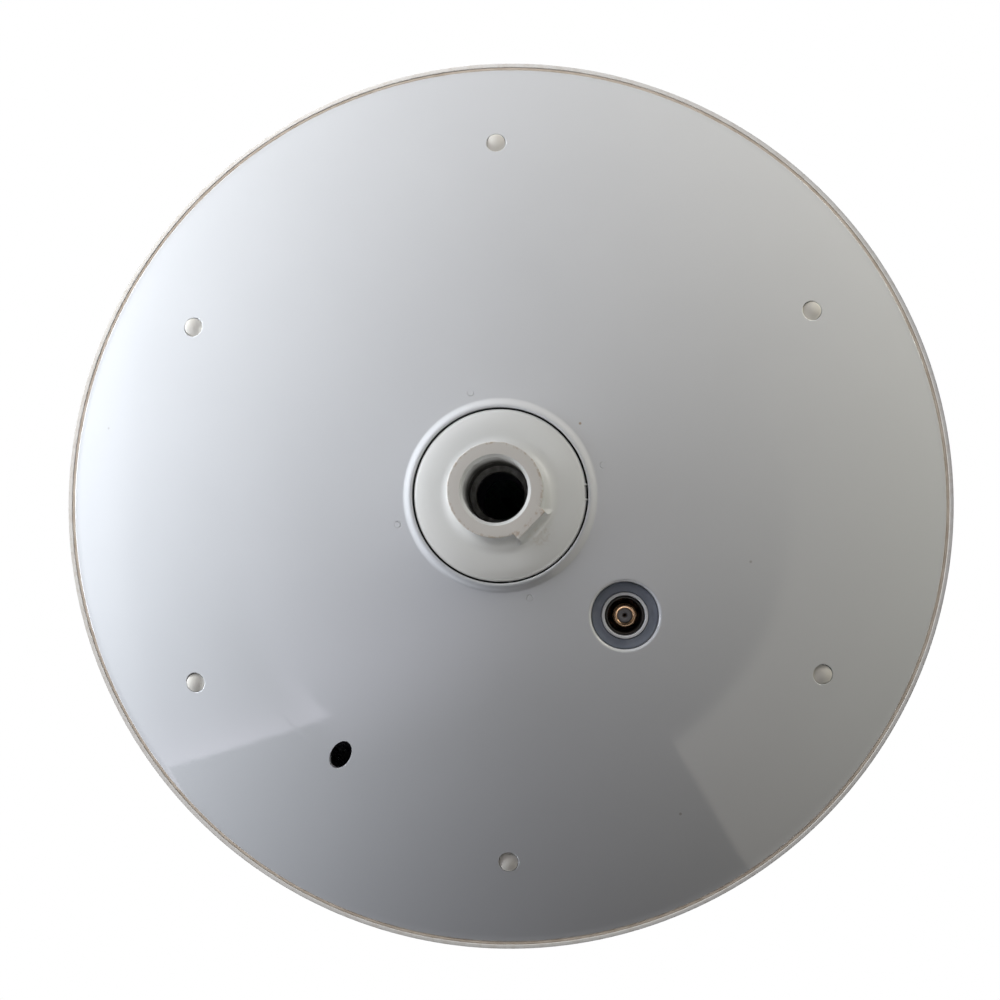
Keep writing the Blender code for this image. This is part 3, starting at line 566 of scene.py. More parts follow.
def hub_dirt_and_shadow(tree, point):
    """Handling dirt on the hub round the mouth's face, a painted shadow on the fillet below the pad, and
    the end face a little darker all over.
    """
    across = distance_from(tree, point, AXIS)
    height = height_of(tree, point)
    edge = times(tree, ramp(tree, across, BOSS_RADIUS - 0.0016, BOSS_RADIUS - 0.0004),
                 ramp(tree, height, 0.0002, 0.0012, 1.0, 0.0))
    from_pad = distance_from(tree, point, PAD_SHADOW_MIDDLE)
    # Painted shadow on the fillet below the pad
    below = times(tree, ramp(tree, from_pad, 0.002, 0.007, 1.0, 0.0),
                  ramp(tree, height, 0.004, 0.012))
    patchy = ramp(tree, noise(tree, point, 420.0, 4.0, 0.7), 0.42, 0.66)
    edge = times(tree, edge, ramp(tree, patchy, 0.0, 1.0, 0.25, 0.8))
    below = times(tree, below, times(tree, patchy, 0.36))
    # The boss's end face a little darker all over
    face = times(tree, ramp(tree, height, 0.0001, 0.0005, 1.0, 0.0),
                 ramp(tree, across, MOUTH_RADIUS - 0.0002, MOUTH_RADIUS + 0.0002, 0.0, 0.28))
    return maths(tree, "MAXIMUM", edge, below, face)


def bore_depth_shade(tree, point):
    """Painted shade on the ferrule's thread, darker with depth."""
    across = distance_from(tree, point, AXIS)
    inside = ramp(tree, across, MOUTH_RADIUS - 0.0006, MOUTH_RADIUS - 0.0002, 1.0, 0.0)
    patchy = ramp(tree, noise(tree, point, 300.0, 3.0), 0.3, 0.7, 0.85, 1.0)
    # Painted shade: darker the deeper in the bore
    deep = ramp(tree, height_of(tree, point), 0.008, 0.026, 0.0, 0.97)
    return times(tree, inside, times(tree, deep, patchy))


def rim_soiling(tree, point):
    """Sealant and dirt smeared near the rim, and a speck of dirt by the hub."""
    across = distance_from(tree, point, AXIS)
    near_rim = ramp(tree, across, COVER_RADIUS - 0.0012, COVER_RADIUS)
    low = ramp(tree, height_of(tree, point), RIM_Z + 0.0012, RIM_Z + 0.003, 1.0, 0.0)
    patchy = ramp(tree, noise(tree, point, 260.0, 4.0, 0.7), 0.45, 0.65, 0.02, 0.22)
    smears = times(tree, near_rim, low, patchy)
    speck = ramp(tree, distance_from(tree, point, SPECK), 0.0003, 0.0007, 0.9, 0.0)
    return maths(tree, "MAXIMUM", smears, speck)


def well_depth_shade(tree, point):
    """Painted shade on the gilt metal: darker brown the deeper in the socket's well."""
    return ramp(tree, height_of(tree, point), JACK_LOW_Z + 0.0015, JACK_LOW_Z + 0.009, 0.0, 0.92)


# By slot.  The frame has materials of these names, so Blender gives the new ones a suffix.
MATERIALS = {material.name.partition(".")[0]: material for material in (
    moulded_plastic("dome_white", (0.80, 0.80, 0.78), (0.77, 0.77, 0.76), 0.16, dirt_and_shade=rim_soiling),
    moulded_plastic("cover_white", (0.70, 0.71, 0.72), (0.68, 0.69, 0.70), 0.04, dirt_and_shade=rim_soiling),
    moulded_plastic("hub_white", (0.71, 0.715, 0.695), (0.68, 0.685, 0.665), 0.38, peel=0.00001,
                    dirt_and_shade=hub_dirt_and_shadow, depth_shade=bore_depth_shade),
    moulded_plastic("plug_white", (0.80, 0.775, 0.715), (0.75, 0.72, 0.65), 0.35),
    rubber("seal_tan", (0.46, 0.41, 0.36), (0.35, 0.30, 0.25), 0.75, 0.00008),
    rubber("rubber_black", (0.016, 0.015, 0.013), (0.028, 0.024, 0.020), 0.62, 0.00001),
    rubber("rubber_slate", (0.190, 0.214, 0.262), (0.225, 0.245, 0.286), 0.58, 0.00001),
    metal("stainless", (0.60, 0.60, 0.59), (0.48, 0.47, 0.45), 0.30),
    metal("gilt_brass", (0.66, 0.44, 0.27), (0.38, 0.22, 0.12), 0.34, dirt_and_shade=well_depth_shade),
    moulded_plastic("dielectric", (0.17, 0.165, 0.165), (0.13, 0.125, 0.125), 0.45),
    circuit_board("board_green"),
    metal("tinplate", (0.66, 0.67, 0.68), (0.52, 0.53, 0.54), 0.28, (1500.0, 60.0, 60.0)),
    metal("aluminium", (0.74, 0.75, 0.76), (0.62, 0.63, 0.64), 0.35, (60.0, 1500.0, 60.0)),
    moulded_plastic("carrier_grey", (0.45, 0.46, 0.47), (0.41, 0.42, 0.43), 0.5),
    rubber("cable_black", (0.020, 0.020, 0.022), (0.032, 0.032, 0.034), 0.5, 0.00001),
)}


def place(piece, node, slot):
    """Let a piece stand for one CAD node, in a slot's material."""
    piece.data.materials.clear()
    piece.data.materials.append(MATERIALS[slot])
    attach(piece, "root")
    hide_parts(node)


# ---- shells

def build_dome():
    """The upper dome: lip, superellipse shell and six screw posts."""
    turns = [radians(2 + 88 * step / 90) for step in range(90)]
    outline = [(LIP_INNER_RADIUS, RIM_Z + 0.0002), (LIP_INNER_RADIUS + 0.0002, RIM_Z)]
    outline += arc((RIM_RADIUS - RIM_EDGE, RIM_Z + RIM_EDGE), RIM_EDGE, 270, 360, 5)
    outline += [dome_point(0.0, turn) for turn in turns]
    outline += [(0.0, RIM_Z + DOME_HEIGHT), (0.0, RIM_Z + DOME_HEIGHT - DOME_WALL)]
    outline += [dome_point(DOME_WALL, turn) for turn in turns[6:]][::-1]
    outline += [(LIP_LEDGE_RADIUS, LIP_LEDGE_Z + 0.0015), (LIP_LEDGE_RADIUS, LIP_LEDGE_Z),
                (LIP_INNER_RADIUS, LIP_LEDGE_Z)]
    dome = turned("dome_shell", outline, SHELL_STEPS)
    posts = bmesh.new()
    foot = SEAT_TOP_Z + 0.0003
    add_posts(posts, PLUGS, DOME_POST, foot, (dome_middle, 0.0))
    apply_boolean(dome, posts, "UNION")
    holes = bmesh.new()
    add_posts(holes, PLUGS, DOME_POST_HOLE, foot - 0.002, foot + 0.016)
    apply_boolean(dome, holes, "DIFFERENCE")
    reshade(dome)
    place(dome, "top_radome", "dome_white")


def cover_outline():
    """Section of the bottom cover: collar bead, crowned face, upstanding rim, inner land."""
    bead = COLLAR_CREST_RADIUS - HUB_HOLE_RADIUS
    outline = [(HUB_HOLE_RADIUS, LAND_Z - 0.0012)]
    outline += arc((COLLAR_CREST_RADIUS, COLLAR_Z + bead), bead, 180, 270, 9)
    foot_z = cover_outer(COLLAR_FOOT_RADIUS)
    for step in range(1, 12):
        share = step / 12
        eased = share * share * (3 - 2 * share)
        radius = COLLAR_CREST_RADIUS + (COLLAR_FOOT_RADIUS - COLLAR_CREST_RADIUS) * share
        outline.append((radius, COLLAR_Z + (foot_z - COLLAR_Z) * eased))
    steps = 62
    end = COVER_RADIUS - RIM_EDGE
    for step in range(steps + 1):
        radius = COLLAR_FOOT_RADIUS + (end - COLLAR_FOOT_RADIUS) * step / steps
        outline.append((radius, cover_outer(radius)))
    for step in range(1, 6):
        angle = radians(18 * step)
        outline.append((end + RIM_EDGE * sin(angle), cover_outer(end) + RIM_EDGE * (1 - cos(angle))))
    outline += [(COVER_RADIUS, COVER_RIM_TOP), (COVER_RADIUS - 0.003, COVER_RIM_TOP)]
    steps = 24
    for step in range(steps, -1, -1):
        radius = LAND_RADIUS + (COVER_RADIUS - 0.0035 - LAND_RADIUS) * step / steps
        outline.append((radius, cover_inner(radius)))
    outline.append((HUB_HOLE_RADIUS + 0.0005, LAND_Z))
    return outline


def build_cover():
    """The underside, with its collar, recesses, drain hole, socket pocket and inner posts."""
    cover = turned("cover_shell", cover_outline(), SHELL_STEPS)
    inner_face = (cover_middle, 0.0)
    bosses = bmesh.new()
    add_posts(bosses, PLUGS, RIM_BOSS, inner_face, SEAT_TOP_Z)
    add_posts(bosses, HUB_SCREWS, HUB_BOSS, LAND_Z - 0.001, CLAMP_Z - 0.0006)
    add_posts(bosses, CARRIER_POSTS, CARRIER_BOSS, inner_face, CARRIER_Z - 0.0003)
    add_posts(bosses, BOARD_POSTS, BOARD_BOSS, inner_face, BOARD_Z - 0.0003)
    add_posts(bosses, [JACK], POCKET_RADIUS + 0.002, inner_face, POCKET_FLOOR_Z + 0.003, POCKET_STEPS)
    apply_boolean(cover, bosses, "UNION")
    holes = bmesh.new()
    for centre in PLUGS:
        add_rounded_hole(holes, centre, RECESS_RADIUS, RECESS_RADIUS, RECESS_EDGE, SEAT_Z, 48)
    for centre in HUB_SCREWS:
        add_posts(holes, [centre], HUB_BOSS_HOLE, LAND_Z - 0.0019, CLAMP_Z + 0.002)
        add_witness_mark(holes, centre)
    add_posts(holes, CARRIER_POSTS, CARRIER_BOSS_HOLE, CARRIER_Z - 0.012, CARRIER_Z + 0.002)
    add_posts(holes, BOARD_POSTS, BOARD_BOSS_HOLE, BOARD_Z - 0.0075, BOARD_Z + 0.002)
    add_rounded_hole(holes, JACK, POCKET_RADIUS, POCKET_RADIUS, POCKET_EDGE, POCKET_FLOOR_Z, POCKET_STEPS)
    turn = atan2(DRAIN.y, DRAIN.x)
    add_rounded_hole(holes, DRAIN, DRAIN_HALF_WIDTH, DRAIN_HALF_LENGTH, DRAIN_EDGE, RIM_Z, 64, turn)
    apply_boolean(cover, holes, "DIFFERENCE")
    deeper = bmesh.new()
    add_posts(deeper, PLUGS, RIM_BOSS_HOLE, SEAT_Z - 0.001, SEAT_TOP_Z + 0.001)
    add_posts(deeper, [JACK], COLLAR_RADIUS - 0.0006, POCKET_FLOOR_Z - 0.001, POCKET_FLOOR_Z + 0.005, 64)
    apply_boolean(cover, deeper, "DIFFERENCE")
    well = bmesh.new()
    middle = (WELL_RADIUS + COLLAR_RADIUS) / 2
    half = (COLLAR_RADIUS - WELL_RADIUS) / 2
    outline = arc((middle + half - WELL_EDGE, COLLAR_END_Z + WELL_EDGE), WELL_EDGE, 360, 270, 4)
    outline += arc((middle - half + WELL_EDGE, COLLAR_END_Z + WELL_EDGE), WELL_EDGE, 270, 180, 4)
    outline += [(WELL_RADIUS, WELL_FLOOR_Z), (SOCKET_HOLE_RADIUS, WELL_FLOOR_Z),
                (SOCKET_HOLE_RADIUS, WELL_TOP_Z), (COLLAR_RADIUS, WELL_TOP_Z)]
    add_turned(well, outline, even_angles(POCKET_STEPS), JACK)
    apply_boolean(cover, well, "UNION")
    reshade(cover, 30)
    lay_normals_on_cover(cover)
    place(cover, "bottom_cover", "cover_white")


def add_witness_mark(bm, centre):
    """A cutter for the shallow ring-shaped sink mark over a screw boss."""
    surface = cover_outer(hypot(*centre))
    add_turned(bm, [(radius, surface + z) for radius, z in WITNESS_MARK], even_angles(24), centre)


def build_seal():
    """The hand-laid sealant bead in the joint between cover and dome."""
    low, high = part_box("rim_seal")
    inner = COVER_RADIUS + 0.0001
    outer = LIP_INNER_RADIUS - 0.0001

    def wander(angle):
        return 0.5 * sin(7 * angle + 0.4) + 0.3 * sin(23 * angle + 1.9) + 0.2 * sin(61 * angle + 0.8)

    outline = []
    for step in range(7):
        turn = radians(180 + 30 * step)
        across = (inner + outer) / 2 + (outer - inner) / 2 * cos(turn)
        hang = 0.00025 * (1 + sin(turn)) - 0.0002
        outline.append((across, lambda angle, hang=hang: low.z + hang + 0.00014 + 0.00012 * wander(angle)))
    outline += [(outer, high.z), (inner, high.z)]
    place(turned("seal_bead", outline, 4 * SHELL_STEPS), "rim_seal", "seal_tan")


# ---- hub

def thread_profile(turns):
    """Height of a truncated V thread, 0 at the root and 1 at the crest."""
    part = turns % 1.0
    slope = abs(2 * part - 1)
    return min(1.0, max(0.0, (slope - 0.125) / 0.75))


def boss_radius(angle, grow, pad_share=1.0):
    """The ferrule's outline at an angle, with a share of its flat pad's reach, grown outwards."""
    across = atan2(sin(angle), cos(angle))
    round_part = BOSS_RADIUS + grow
    if abs(across) > pi / 3:
        return round_part
    flat = (PAD_REACH + grow) / cos(across)
    side = (PAD_HALF_WIDTH + grow) / max(0.05, abs(sin(across)))
    return round_part + pad_share * max(0.0, min(flat, side) - round_part)


def hub_angles():
    """Angles round the hub, closer together near the pad's corners and the two nibs."""
    fine = [15 + 0.35 * step for step in range(40)]
    fine += [-angle for angle in fine] + [-53 + 0.3 * step for step in range(46)]
    coarse = [1.5 * step - 180 for step in range(240)]
    kept = [angle for angle in coarse if not 14.9 < abs(angle) < 29.1 and not -53.1 < angle < -39.1]
    return [radians(angle) for angle in sorted(kept + fine)]


def disc_edge(angle):
    """The disc's edge: two moulded nibs reach towards the collar, with a shallow relief between."""
    turn = degrees(remainder(angle, 2 * pi))
    for nib in NIB_ANGLES:
        if abs(turn - nib) < 0.4:
            return DISC_RADIUS + NIB_REACH
    if NIB_ANGLES[0] < turn < NIB_ANGLES[1]:
        return DISC_RADIUS - NIB_RELIEF
    return DISC_RADIUS


def thread_rings():
    """Rings of the ferrule's bore, from its step down to its mouth, with a real helical thread."""
    rings = []
    z = THREAD_END_Z
    while z > 0.0012:
        fade = min(1.0, (THREAD_END_Z - z) / THREAD_PITCH)

        def reach(angle, z=z, fade=fade):
            depth = 1 - thread_profile(z / THREAD_PITCH + angle / (2 * pi))
            return THREAD_MINOR_RADIUS + (THREAD_MAJOR_RADIUS - THREAD_MINOR_RADIUS) * depth * fade

        rings.append((reach, z))
        z -= THREAD_PITCH / 8
    return rings


def build_hub():
    """The mast ferrule: boss with pad, fillet, disc, neck, flange and threaded bore."""
    fillet_z = DISC_Z - 0.0022 - BOSS_FILLET
    taper = BOSS_FOOT_RADIUS - BOSS_RADIUS

    def grown(grow, pad_share=1.0):
        return lambda angle: boss_radius(angle, grow, pad_share)

    outline = []
    for step in range(5):
        turn = radians(22.5 * step)
        outline.append((grown(-BOSS_EDGE + BOSS_EDGE * sin(turn)), BOSS_EDGE * (1 - cos(turn))))
    for step in range(1, 13):
        share = step / 12
        outline.append((grown(taper * share), BOSS_EDGE + (fillet_z - BOSS_EDGE) * share))
    for step in range(1, 19):
        turn = radians(5 * step)
        out = 1 - cos(turn)
        pad_share = max(0.0, 1 - out / PAD_FADE)
        z = fillet_z + BOSS_FILLET * sin(turn)
        outline.append((grown(taper + BOSS_FILLET * out, pad_share), z))
    foot = BOSS_FOOT_RADIUS + BOSS_FILLET
    edge = DISC_RADIUS - 0.0008
    edge_z = DISC_Z - 0.0007
    for step in range(1, 13):
        share = step / 12
        radius = foot + (edge - foot) * share
        rise = (edge_z - fillet_z - BOSS_FILLET) * (0.25 * share + 0.75 * share ** 3)
        outline.append((radius, fillet_z + BOSS_FILLET + rise))
    for inset, rise in ((0.0004, -0.00035), (0.00012, 0.0), (0.0, 0.0005)):
        outline.append((lambda angle, inset=inset: disc_edge(angle) - inset, DISC_Z + rise))
    outline += [(disc_edge, DISC_Z + 0.0020), (DISC_RADIUS, DISC_Z + 0.0021), (DISC_RADIUS, FLANGE_Z),
                (FLANGE_RADIUS, FLANGE_Z)]
    web = DISC_Z + 0.0022
    outline += [(FLANGE_RADIUS, HUB_TOP_Z), (DISC_RADIUS - 0.003, HUB_TOP_Z), (DISC_RADIUS - 0.003, web),
                (BOSS_RADIUS - 0.001, web), (BOSS_RADIUS - 0.001, HUB_TOP_Z),
                (INNER_HOLE_RADIUS, HUB_TOP_Z), (INNER_HOLE_RADIUS, STEP_Z + 0.0004),
                (INNER_HOLE_RADIUS + 0.0004, STEP_Z), (THREAD_MINOR_RADIUS, STEP_Z)]
    outline += thread_rings()
    outline += [(THREAD_MINOR_RADIUS + 0.0004, 0.00095), (MOUTH_RADIUS - 0.0002, 0.0003),
                (MOUTH_RADIUS, 0.0)]
    bm = bmesh.new()
    add_turned(bm, outline, hub_angles())
    hub = finish_mesh("mast_ferrule", bm, 32)
    holes = bmesh.new()
    add_posts(holes, HUB_SCREWS, FLANGE_HOLE, FLANGE_Z - 0.001, CLAMP_Z, 24)
    apply_boolean(hub, holes, "DIFFERENCE")
    reshade(hub, 32)
    place(hub, "mount_hub", "hub_white")


# ---- plugs

def build_plugs():
    """The domed caps in the screw recesses."""
    ball = (PLUG_RADIUS ** 2 + PLUG_CROWN ** 2) / (2 * PLUG_CROWN)
    spread = degrees(asin(PLUG_RADIUS / ball))
    outline = arc((0.0, PLUG_EDGE_Z - PLUG_CROWN + ball), ball, -90, spread - 90.5, 12)
    outline[0] = (0.0, PLUG_EDGE_Z - PLUG_CROWN)
    outline += [(PLUG_RADIUS - 0.00002, PLUG_EDGE_Z), (PLUG_RADIUS, PLUG_EDGE_Z + 0.0001),
                (PLUG_RADIUS, PLUG_EDGE_Z + 0.003), (0.0, PLUG_EDGE_Z + 0.003)]
    for number, centre in enumerate(PLUGS, start=1):
        plug = turned(f"plug_cap_{number}", outline, 64, centre)
        place(plug, f"screw_plug_{number}", "plug_white")


# ---- socket

def build_jack():
    """The F socket: threaded gilt body, its bore, and a tail above the well's floor."""
    flange_z = WELL_TOP_Z + 0.0003
    tail_z = flange_z + 0.0025
    shoulder_z = WELL_FLOOR_Z + 0.0005
    low = JACK_LOW_Z
    outline = [(JACK_BORE_RADIUS + 0.00035, low + 0.0001)]
    outline += arc((JACK_RADIUS - 0.00085, low + 0.0003), 0.0003, 270, 330, 3)
    z = low + 0.0007
    while z < flange_z - JACK_PITCH:
        run_in = min(1.0, (z - low - 0.0003) / JACK_PITCH)

        def reach(angle, z=z, run_in=run_in):
            height = thread_profile(z / JACK_PITCH - angle / (2 * pi))
            return JACK_RADIUS - JACK_THREAD_DEPTH * (1 - height * run_in)

        outline.append((reach, z))
        z += JACK_PITCH / 8
    outline += [(JACK_RADIUS - JACK_THREAD_DEPTH, flange_z), (0.0063, flange_z), (0.0063, tail_z),
                (0.0036, tail_z), (0.0036, JACK_TOP_Z), (0.0016, JACK_TOP_Z), (0.0016, shoulder_z),
                (JACK_BORE_RADIUS, shoulder_z), (JACK_BORE_RADIUS, low + 0.0005)]
    body = turned("socket_body", outline, POCKET_STEPS, JACK, 40)
    place(body, "jack_body", "gilt_brass")

    face_z, back_z = (corner.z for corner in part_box("jack_insulator"))
    rim = JACK_BORE_RADIUS - 0.0001
    outline = [(0.0007, face_z + 0.0012), (0.0011, face_z + 0.0002), (0.0013, face_z),
               (0.0024, face_z + 0.00005), (rim - 0.0002, face_z + 0.0003), (rim, face_z + 0.0005),
               (rim, back_z), (0.0013, back_z), (0.0013, face_z + 0.0018), (0.0007, face_z + 0.0018)]
    place(turned("socket_insulator", outline, 64, JACK, 50), "jack_insulator", "dielectric")

    low_z, high_z = (corner.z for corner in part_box("jack_contact"))
    outline = [(0.00055, low_z + 0.0002), (0.0007, low_z), (0.0009, low_z), (0.0010, low_z + 0.0002),
               (0.0010, high_z), (0.0, high_z), (0.0, low_z + 0.010), (0.00055, low_z + 0.010)]
    place(turned("socket_contact", outline, 32, JACK), "jack_contact", "gilt_brass")


def build_nut():
    """The hexagonal locknut, chamfered at both ends, and the lock washer behind it."""
    low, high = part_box("jack_nut")
    flats = high.y - low.y
    bore = JACK_RADIUS + 0.0001

    def hexagon(shrink):
        def reach(angle):
            part = (angle % (pi / 3)) - pi / 6
            corner = flats / 2 / cos(part)
            return min(corner, flats / sqrt(3) - shrink)
        return reach

    outline = [(bore + 0.0004, low.z), (flats / 2 - 0.0002, low.z),
               (hexagon(0.0004), low.z + 0.0003), (hexagon(0.0), low.z + 0.0006),
               (hexagon(0.0), high.z - 0.0006), (hexagon(0.0004), high.z - 0.0003),
               (flats / 2 - 0.0002, high.z), (bore + 0.0004, high.z), (bore, high.z - 0.0004),
               (bore, low.z + 0.0004)]
    nut = turned("socket_nut", outline, POCKET_STEPS, JACK, 25)
    place(nut, "jack_nut", "gilt_brass")

    low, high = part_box("jack_washer")
    outer = (high.x - low.x) / 2

    def toothed(angle):
        return outer - 0.0005 * (0.5 + 0.5 * cos(12 * angle)) ** 3

    outline = [(bore + 0.0002, low.z + 0.0001), (bore + 0.0003, low.z), (toothed, low.z),
               (toothed, high.z), (bore + 0.0003, high.z), (bore + 0.0002, high.z - 0.0001)]
    washer = turned("socket_washer", outline, POCKET_STEPS, JACK, 30)
    place(washer, "jack_washer", "gilt_brass")


def build_socket_rubbers():
    """The slate sealing ring in the pocket, and the black liner of the well."""
    low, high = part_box("connector_gasket")
    inner = COLLAR_RADIUS + 0.0002
    outer = POCKET_RADIUS - 0.0002
    edge = 0.0004
    outline = arc((outer - edge, low.z + edge), edge, 360, 275, 5)
    outline += [(outer - 0.0012, low.z + 0.00006), ((inner + outer) / 2, low.z + 0.00010),
                (inner + 0.0012, low.z + 0.00006)]
    outline += arc((inner + edge, low.z + edge), edge, 265, 180, 5)
    outline += [(inner, high.z), (outer, high.z)]
    place(turned("socket_gasket", outline, 128, JACK), "connector_gasket", "rubber_slate")

    low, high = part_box("connector_bush")
    outer = (high.x - low.x) / 2
    inner = outer - 0.0007
    lip = (outer - inner) / 2
    outline = arc((outer - lip, low.z + lip), lip, 360, 180, 8)
    z = low.z + 0.001
    while z < high.z - 0.0022:
        outline += [(inner, z), (inner - 0.00018, z + 0.0004), (inner, z + 0.0008)]
        z += 0.0016
    outline += [(inner, high.z - 0.001), (SOCKET_HOLE_RADIUS, high.z - 0.001), (SOCKET_HOLE_RADIUS, high.z),
                (outer, high.z)]
    place(turned("socket_bush", outline, POCKET_STEPS, JACK), "connector_bush", "rubber_black")


# ---- kept CAD nodes

def finish_kept_nodes():
    """Give every CAD node that stays a procedural material, by the record's slots."""
    slots = {
        "stainless": ("hub_clamp_ring", "hub_screw", "cover_screw", "board_screw", "carrier_screw",
                      "arm_screw"),
        "rubber_black": ("hub_gasket",), "board_green": ("amp_board", "feed_board"),
        "tinplate": ("shield_can",), "cable_black": ("coax_jumper", "feed_cable"),
        "carrier_grey": ("element_carrier",), "aluminium": ("dipole_arm",),
    }
    for node, obj in frame["nodes"].items():
        for slot, stems in slots.items():
            if node.startswith(stems):
                obj.data.materials.clear()
                obj.data.materials.append(MATERIALS[slot])


# ---- camera, floor and lights

VIEW_TURN = radians(-44)         # the socket lies towards the picture's lower right
EYE_DISTANCE = 0.52              # from the rim plane
TILT_X = radians(-2.654)
TILT_Y = radians(-2.749)
SHIFT_X = 0.00148
SHIFT_Y = 0.00048
LENS = 44.85
FLOOR_Z = -0.75

# Screens that show as reflections in the gloss of the underside.  edge is the direction square to
# the screen's straight border, side to a second one, and blur the border's softness; tilts are the
# angles from the viewer between which it comes in and those between which it dies away; middle is
# its turn round the picture and its tilt, fall and focus how fast it darkens from border and middle,
# and share how much of its light counts where it isn't mirrored.
SCREENS = [
    dict(edge=(-0.407, 0.877, 0.256), side=(-0.564, -0.571, -0.597), blur=0.006, tilts=(28, 30, 50, 75),
         middle=(-140, 52), fall=0.07, focus=5, brightness=3.3, colour=(0.92, 0.88, 1.0)),
    dict(edge=(-0.407, 0.877, 0.256), blur=0.15, tilts=(0, 10, 36, 41), middle=(-140, 40),
         fall=0.30, focus=5, brightness=1.9, colour=(0.86, 0.84, 1.0)),
    dict(edge=(0.854, 0.519, -0.031), blur=0.006, tilts=(34, 37, 50, 75), middle=(-35, 48),
         fall=0.60, focus=5, brightness=1.35, colour=(1.0, 0.95, 0.84)),
    dict(edge=(-0.582, -0.034, -0.813), blur=0.05, tilts=(40, 54, 60, 85), middle=(180, 62),
         fall=0.10, focus=8, brightness=1.4, colour=(0.95, 0.98, 1.0)),
    dict(edge=(0.342, -0.940, 0.0), blur=0.35, tilts=(59, 66, 84, 90), middle=(-70, 72),
         fall=5.0, focus=1.5, brightness=3.6, colour=(0.97, 0.98, 1.0), share=0.0),
]
SCREEN_SHARE_OF_LIGHT = 0.40     # the share of a screen that states none
SIDE_BLUR = 0.012
CEILING_BRIGHTNESS = 0.85

# Softboxes for the underside: their turn round the picture, distance from the antenna's axis and from
# the rim towards the viewer, size, radiance, colour, what they light and whether they are mirrored.
UNDER_SOFTBOXES = {
    "left_graze": (180, 0.75, 0.09, (0.42, 0.30), 18.5, (0.87, 0.92, 1.0), ("cover",), True),
    "upper_left_graze": (144, 0.75, 0.09, (0.42, 0.30), 9.2, (0.98, 1.0, 0.96), ("cover",), True),
    "upper_right_graze": (36, 0.75, 0.09, (0.42, 0.30), 7.8, (1.0, 0.97, 0.84), ("cover",), True),
    "top_near": (90, 0.50, 0.22, (0.30, 0.24), 1.9, (0.87, 0.90, 1.0), ("cover", "hub"), False),
    "top_mid": (105, 0.75, 0.35, (0.45, 0.35), 1.3, (0.92, 0.93, 1.0), ("cover", "hub"), False),
    "upper_left_front": (120, 0.55, 0.60, (0.40, 0.40), 1.3, (0.93, 0.90, 1.0), ("cover",), False),
    "upper_right_front": (60, 0.55, 0.60, (0.40, 0.40), 1.0, (1.0, 0.93, 0.84), ("cover",), False),
    "right_near": (-15, 0.36, 0.13, (0.20, 0.16), 0.55, (0.95, 1.0, 0.85), ("cover", "hub"), False),
    "centre_front": (120, 0.04, 0.34, (0.20, 0.20), 0.55, (0.98, 0.98, 1.0), ("cover",), False),
    "hub_left": (165, 0.75, 0.12, (0.42, 0.30), 18.0, (0.92, 0.95, 1.0), ("hub",), True),
    "hub_right": (36, 0.75, 0.12, (0.42, 0.30), 5.0, (1.0, 0.97, 0.88), ("hub",), True),
    "hub_upper_left": (145, 0.35, 0.38, (0.30, 0.30), 0.9, (1.0, 0.98, 0.96), ("hub",), False),
    "hub_front": (-60, 0.06, 0.50, (0.20, 0.20), 4.3, (1.0, 0.98, 0.96), ("hub",), False),
    "seal_front": (-45, 0.25, 0.45, (0.30, 0.30), 3.6, (1.0, 0.98, 0.94), ("seal",), False),
    "rim_front": (135, 0.60, 0.50, (0.40, 0.40), 13.0, (1.0, 0.98, 0.96), ("dome", "seal"), False),
}

# Softboxes for the dome: their place in the antenna's frame, and the rest as above.
DOME_SOFTBOXES = {
    "over_dome": ((0.4, -0.5, 1.5), (1.2, 1.2), 1.6, (1.0, 0.99, 0.97), ("dome",), True),
    "beside_dome": ((-1.3, -0.9, 0.45), (0.9, 0.9), 1.2, (0.93, 0.96, 1.0), ("dome",), False),
    "behind_dome": ((0.9, 1.4, 0.35), (0.9, 0.9), 0.9, (1.0, 0.98, 0.95), ("dome",), False),
}
LIGHT_GROUPS = {"dome_shell": "dome", "seal_bead": "seal", "mast_ferrule": "hub", "floor": "floor"}

PICTURE = Matrix.Rotation(VIEW_TURN, 3, "Z") @ Matrix.Diagonal((1.0, -1.0, -1.0))


def from_picture(vector):
    """Turn (right, up, towards the viewer) into the antenna's frame."""
    return PICTURE @ Vector(vector)


def build_camera():
    """The camera below the antenna, almost on its axis."""
    view = Matrix.Rotation(TILT_X, 3, "X") @ Matrix.Rotation(TILT_Y, 3, "Y")
    eye = view.transposed() @ Vector((-SHIFT_X, -SHIFT_Y, EYE_DISTANCE))
    data = bpy.data.cameras.new("camera")
    data.lens = LENS
    data.sensor_width = 36.0
    camera = bpy.data.objects.new("camera", data)
    turn = (PICTURE @ view.transposed()).to_4x4()
    camera.matrix_world = Matrix.Translation(from_picture(eye) + RIM_CENTRE) @ turn
    bpy.context.collection.objects.link(camera)
    bpy.context.scene.camera = camera


def build_floor():
    """A plain pale floor well below the antenna."""
    bm = bmesh.new()
    bmesh.ops.create_circle(bm, cap_ends=True, segments=96, radius=14.0)
    floor = finish_mesh("floor", bm)
    floor.location.z = FLOOR_Z
    material, tree, shader = start_material("floor_pale")
    point = surface_point(tree)
    clouds = ramp(tree, noise(tree, point, 2.0, 3.0), 0.3, 0.7)
    tint = blended(tree, clouds, (0.80, 0.80, 0.79), (0.78, 0.78, 0.775))
    rough = ramp(tree, noise(tree, point, 15.0), 0.3, 0.7, 0.75, 0.85)
    set_surface(tree, shader, tint, rough, noise(tree, point, 400.0), 0.0001)
    floor.data.materials.append(material)
    floor.visible_diffuse = False
    floor.visible_glossy = False
    floor.visible_shadow = False


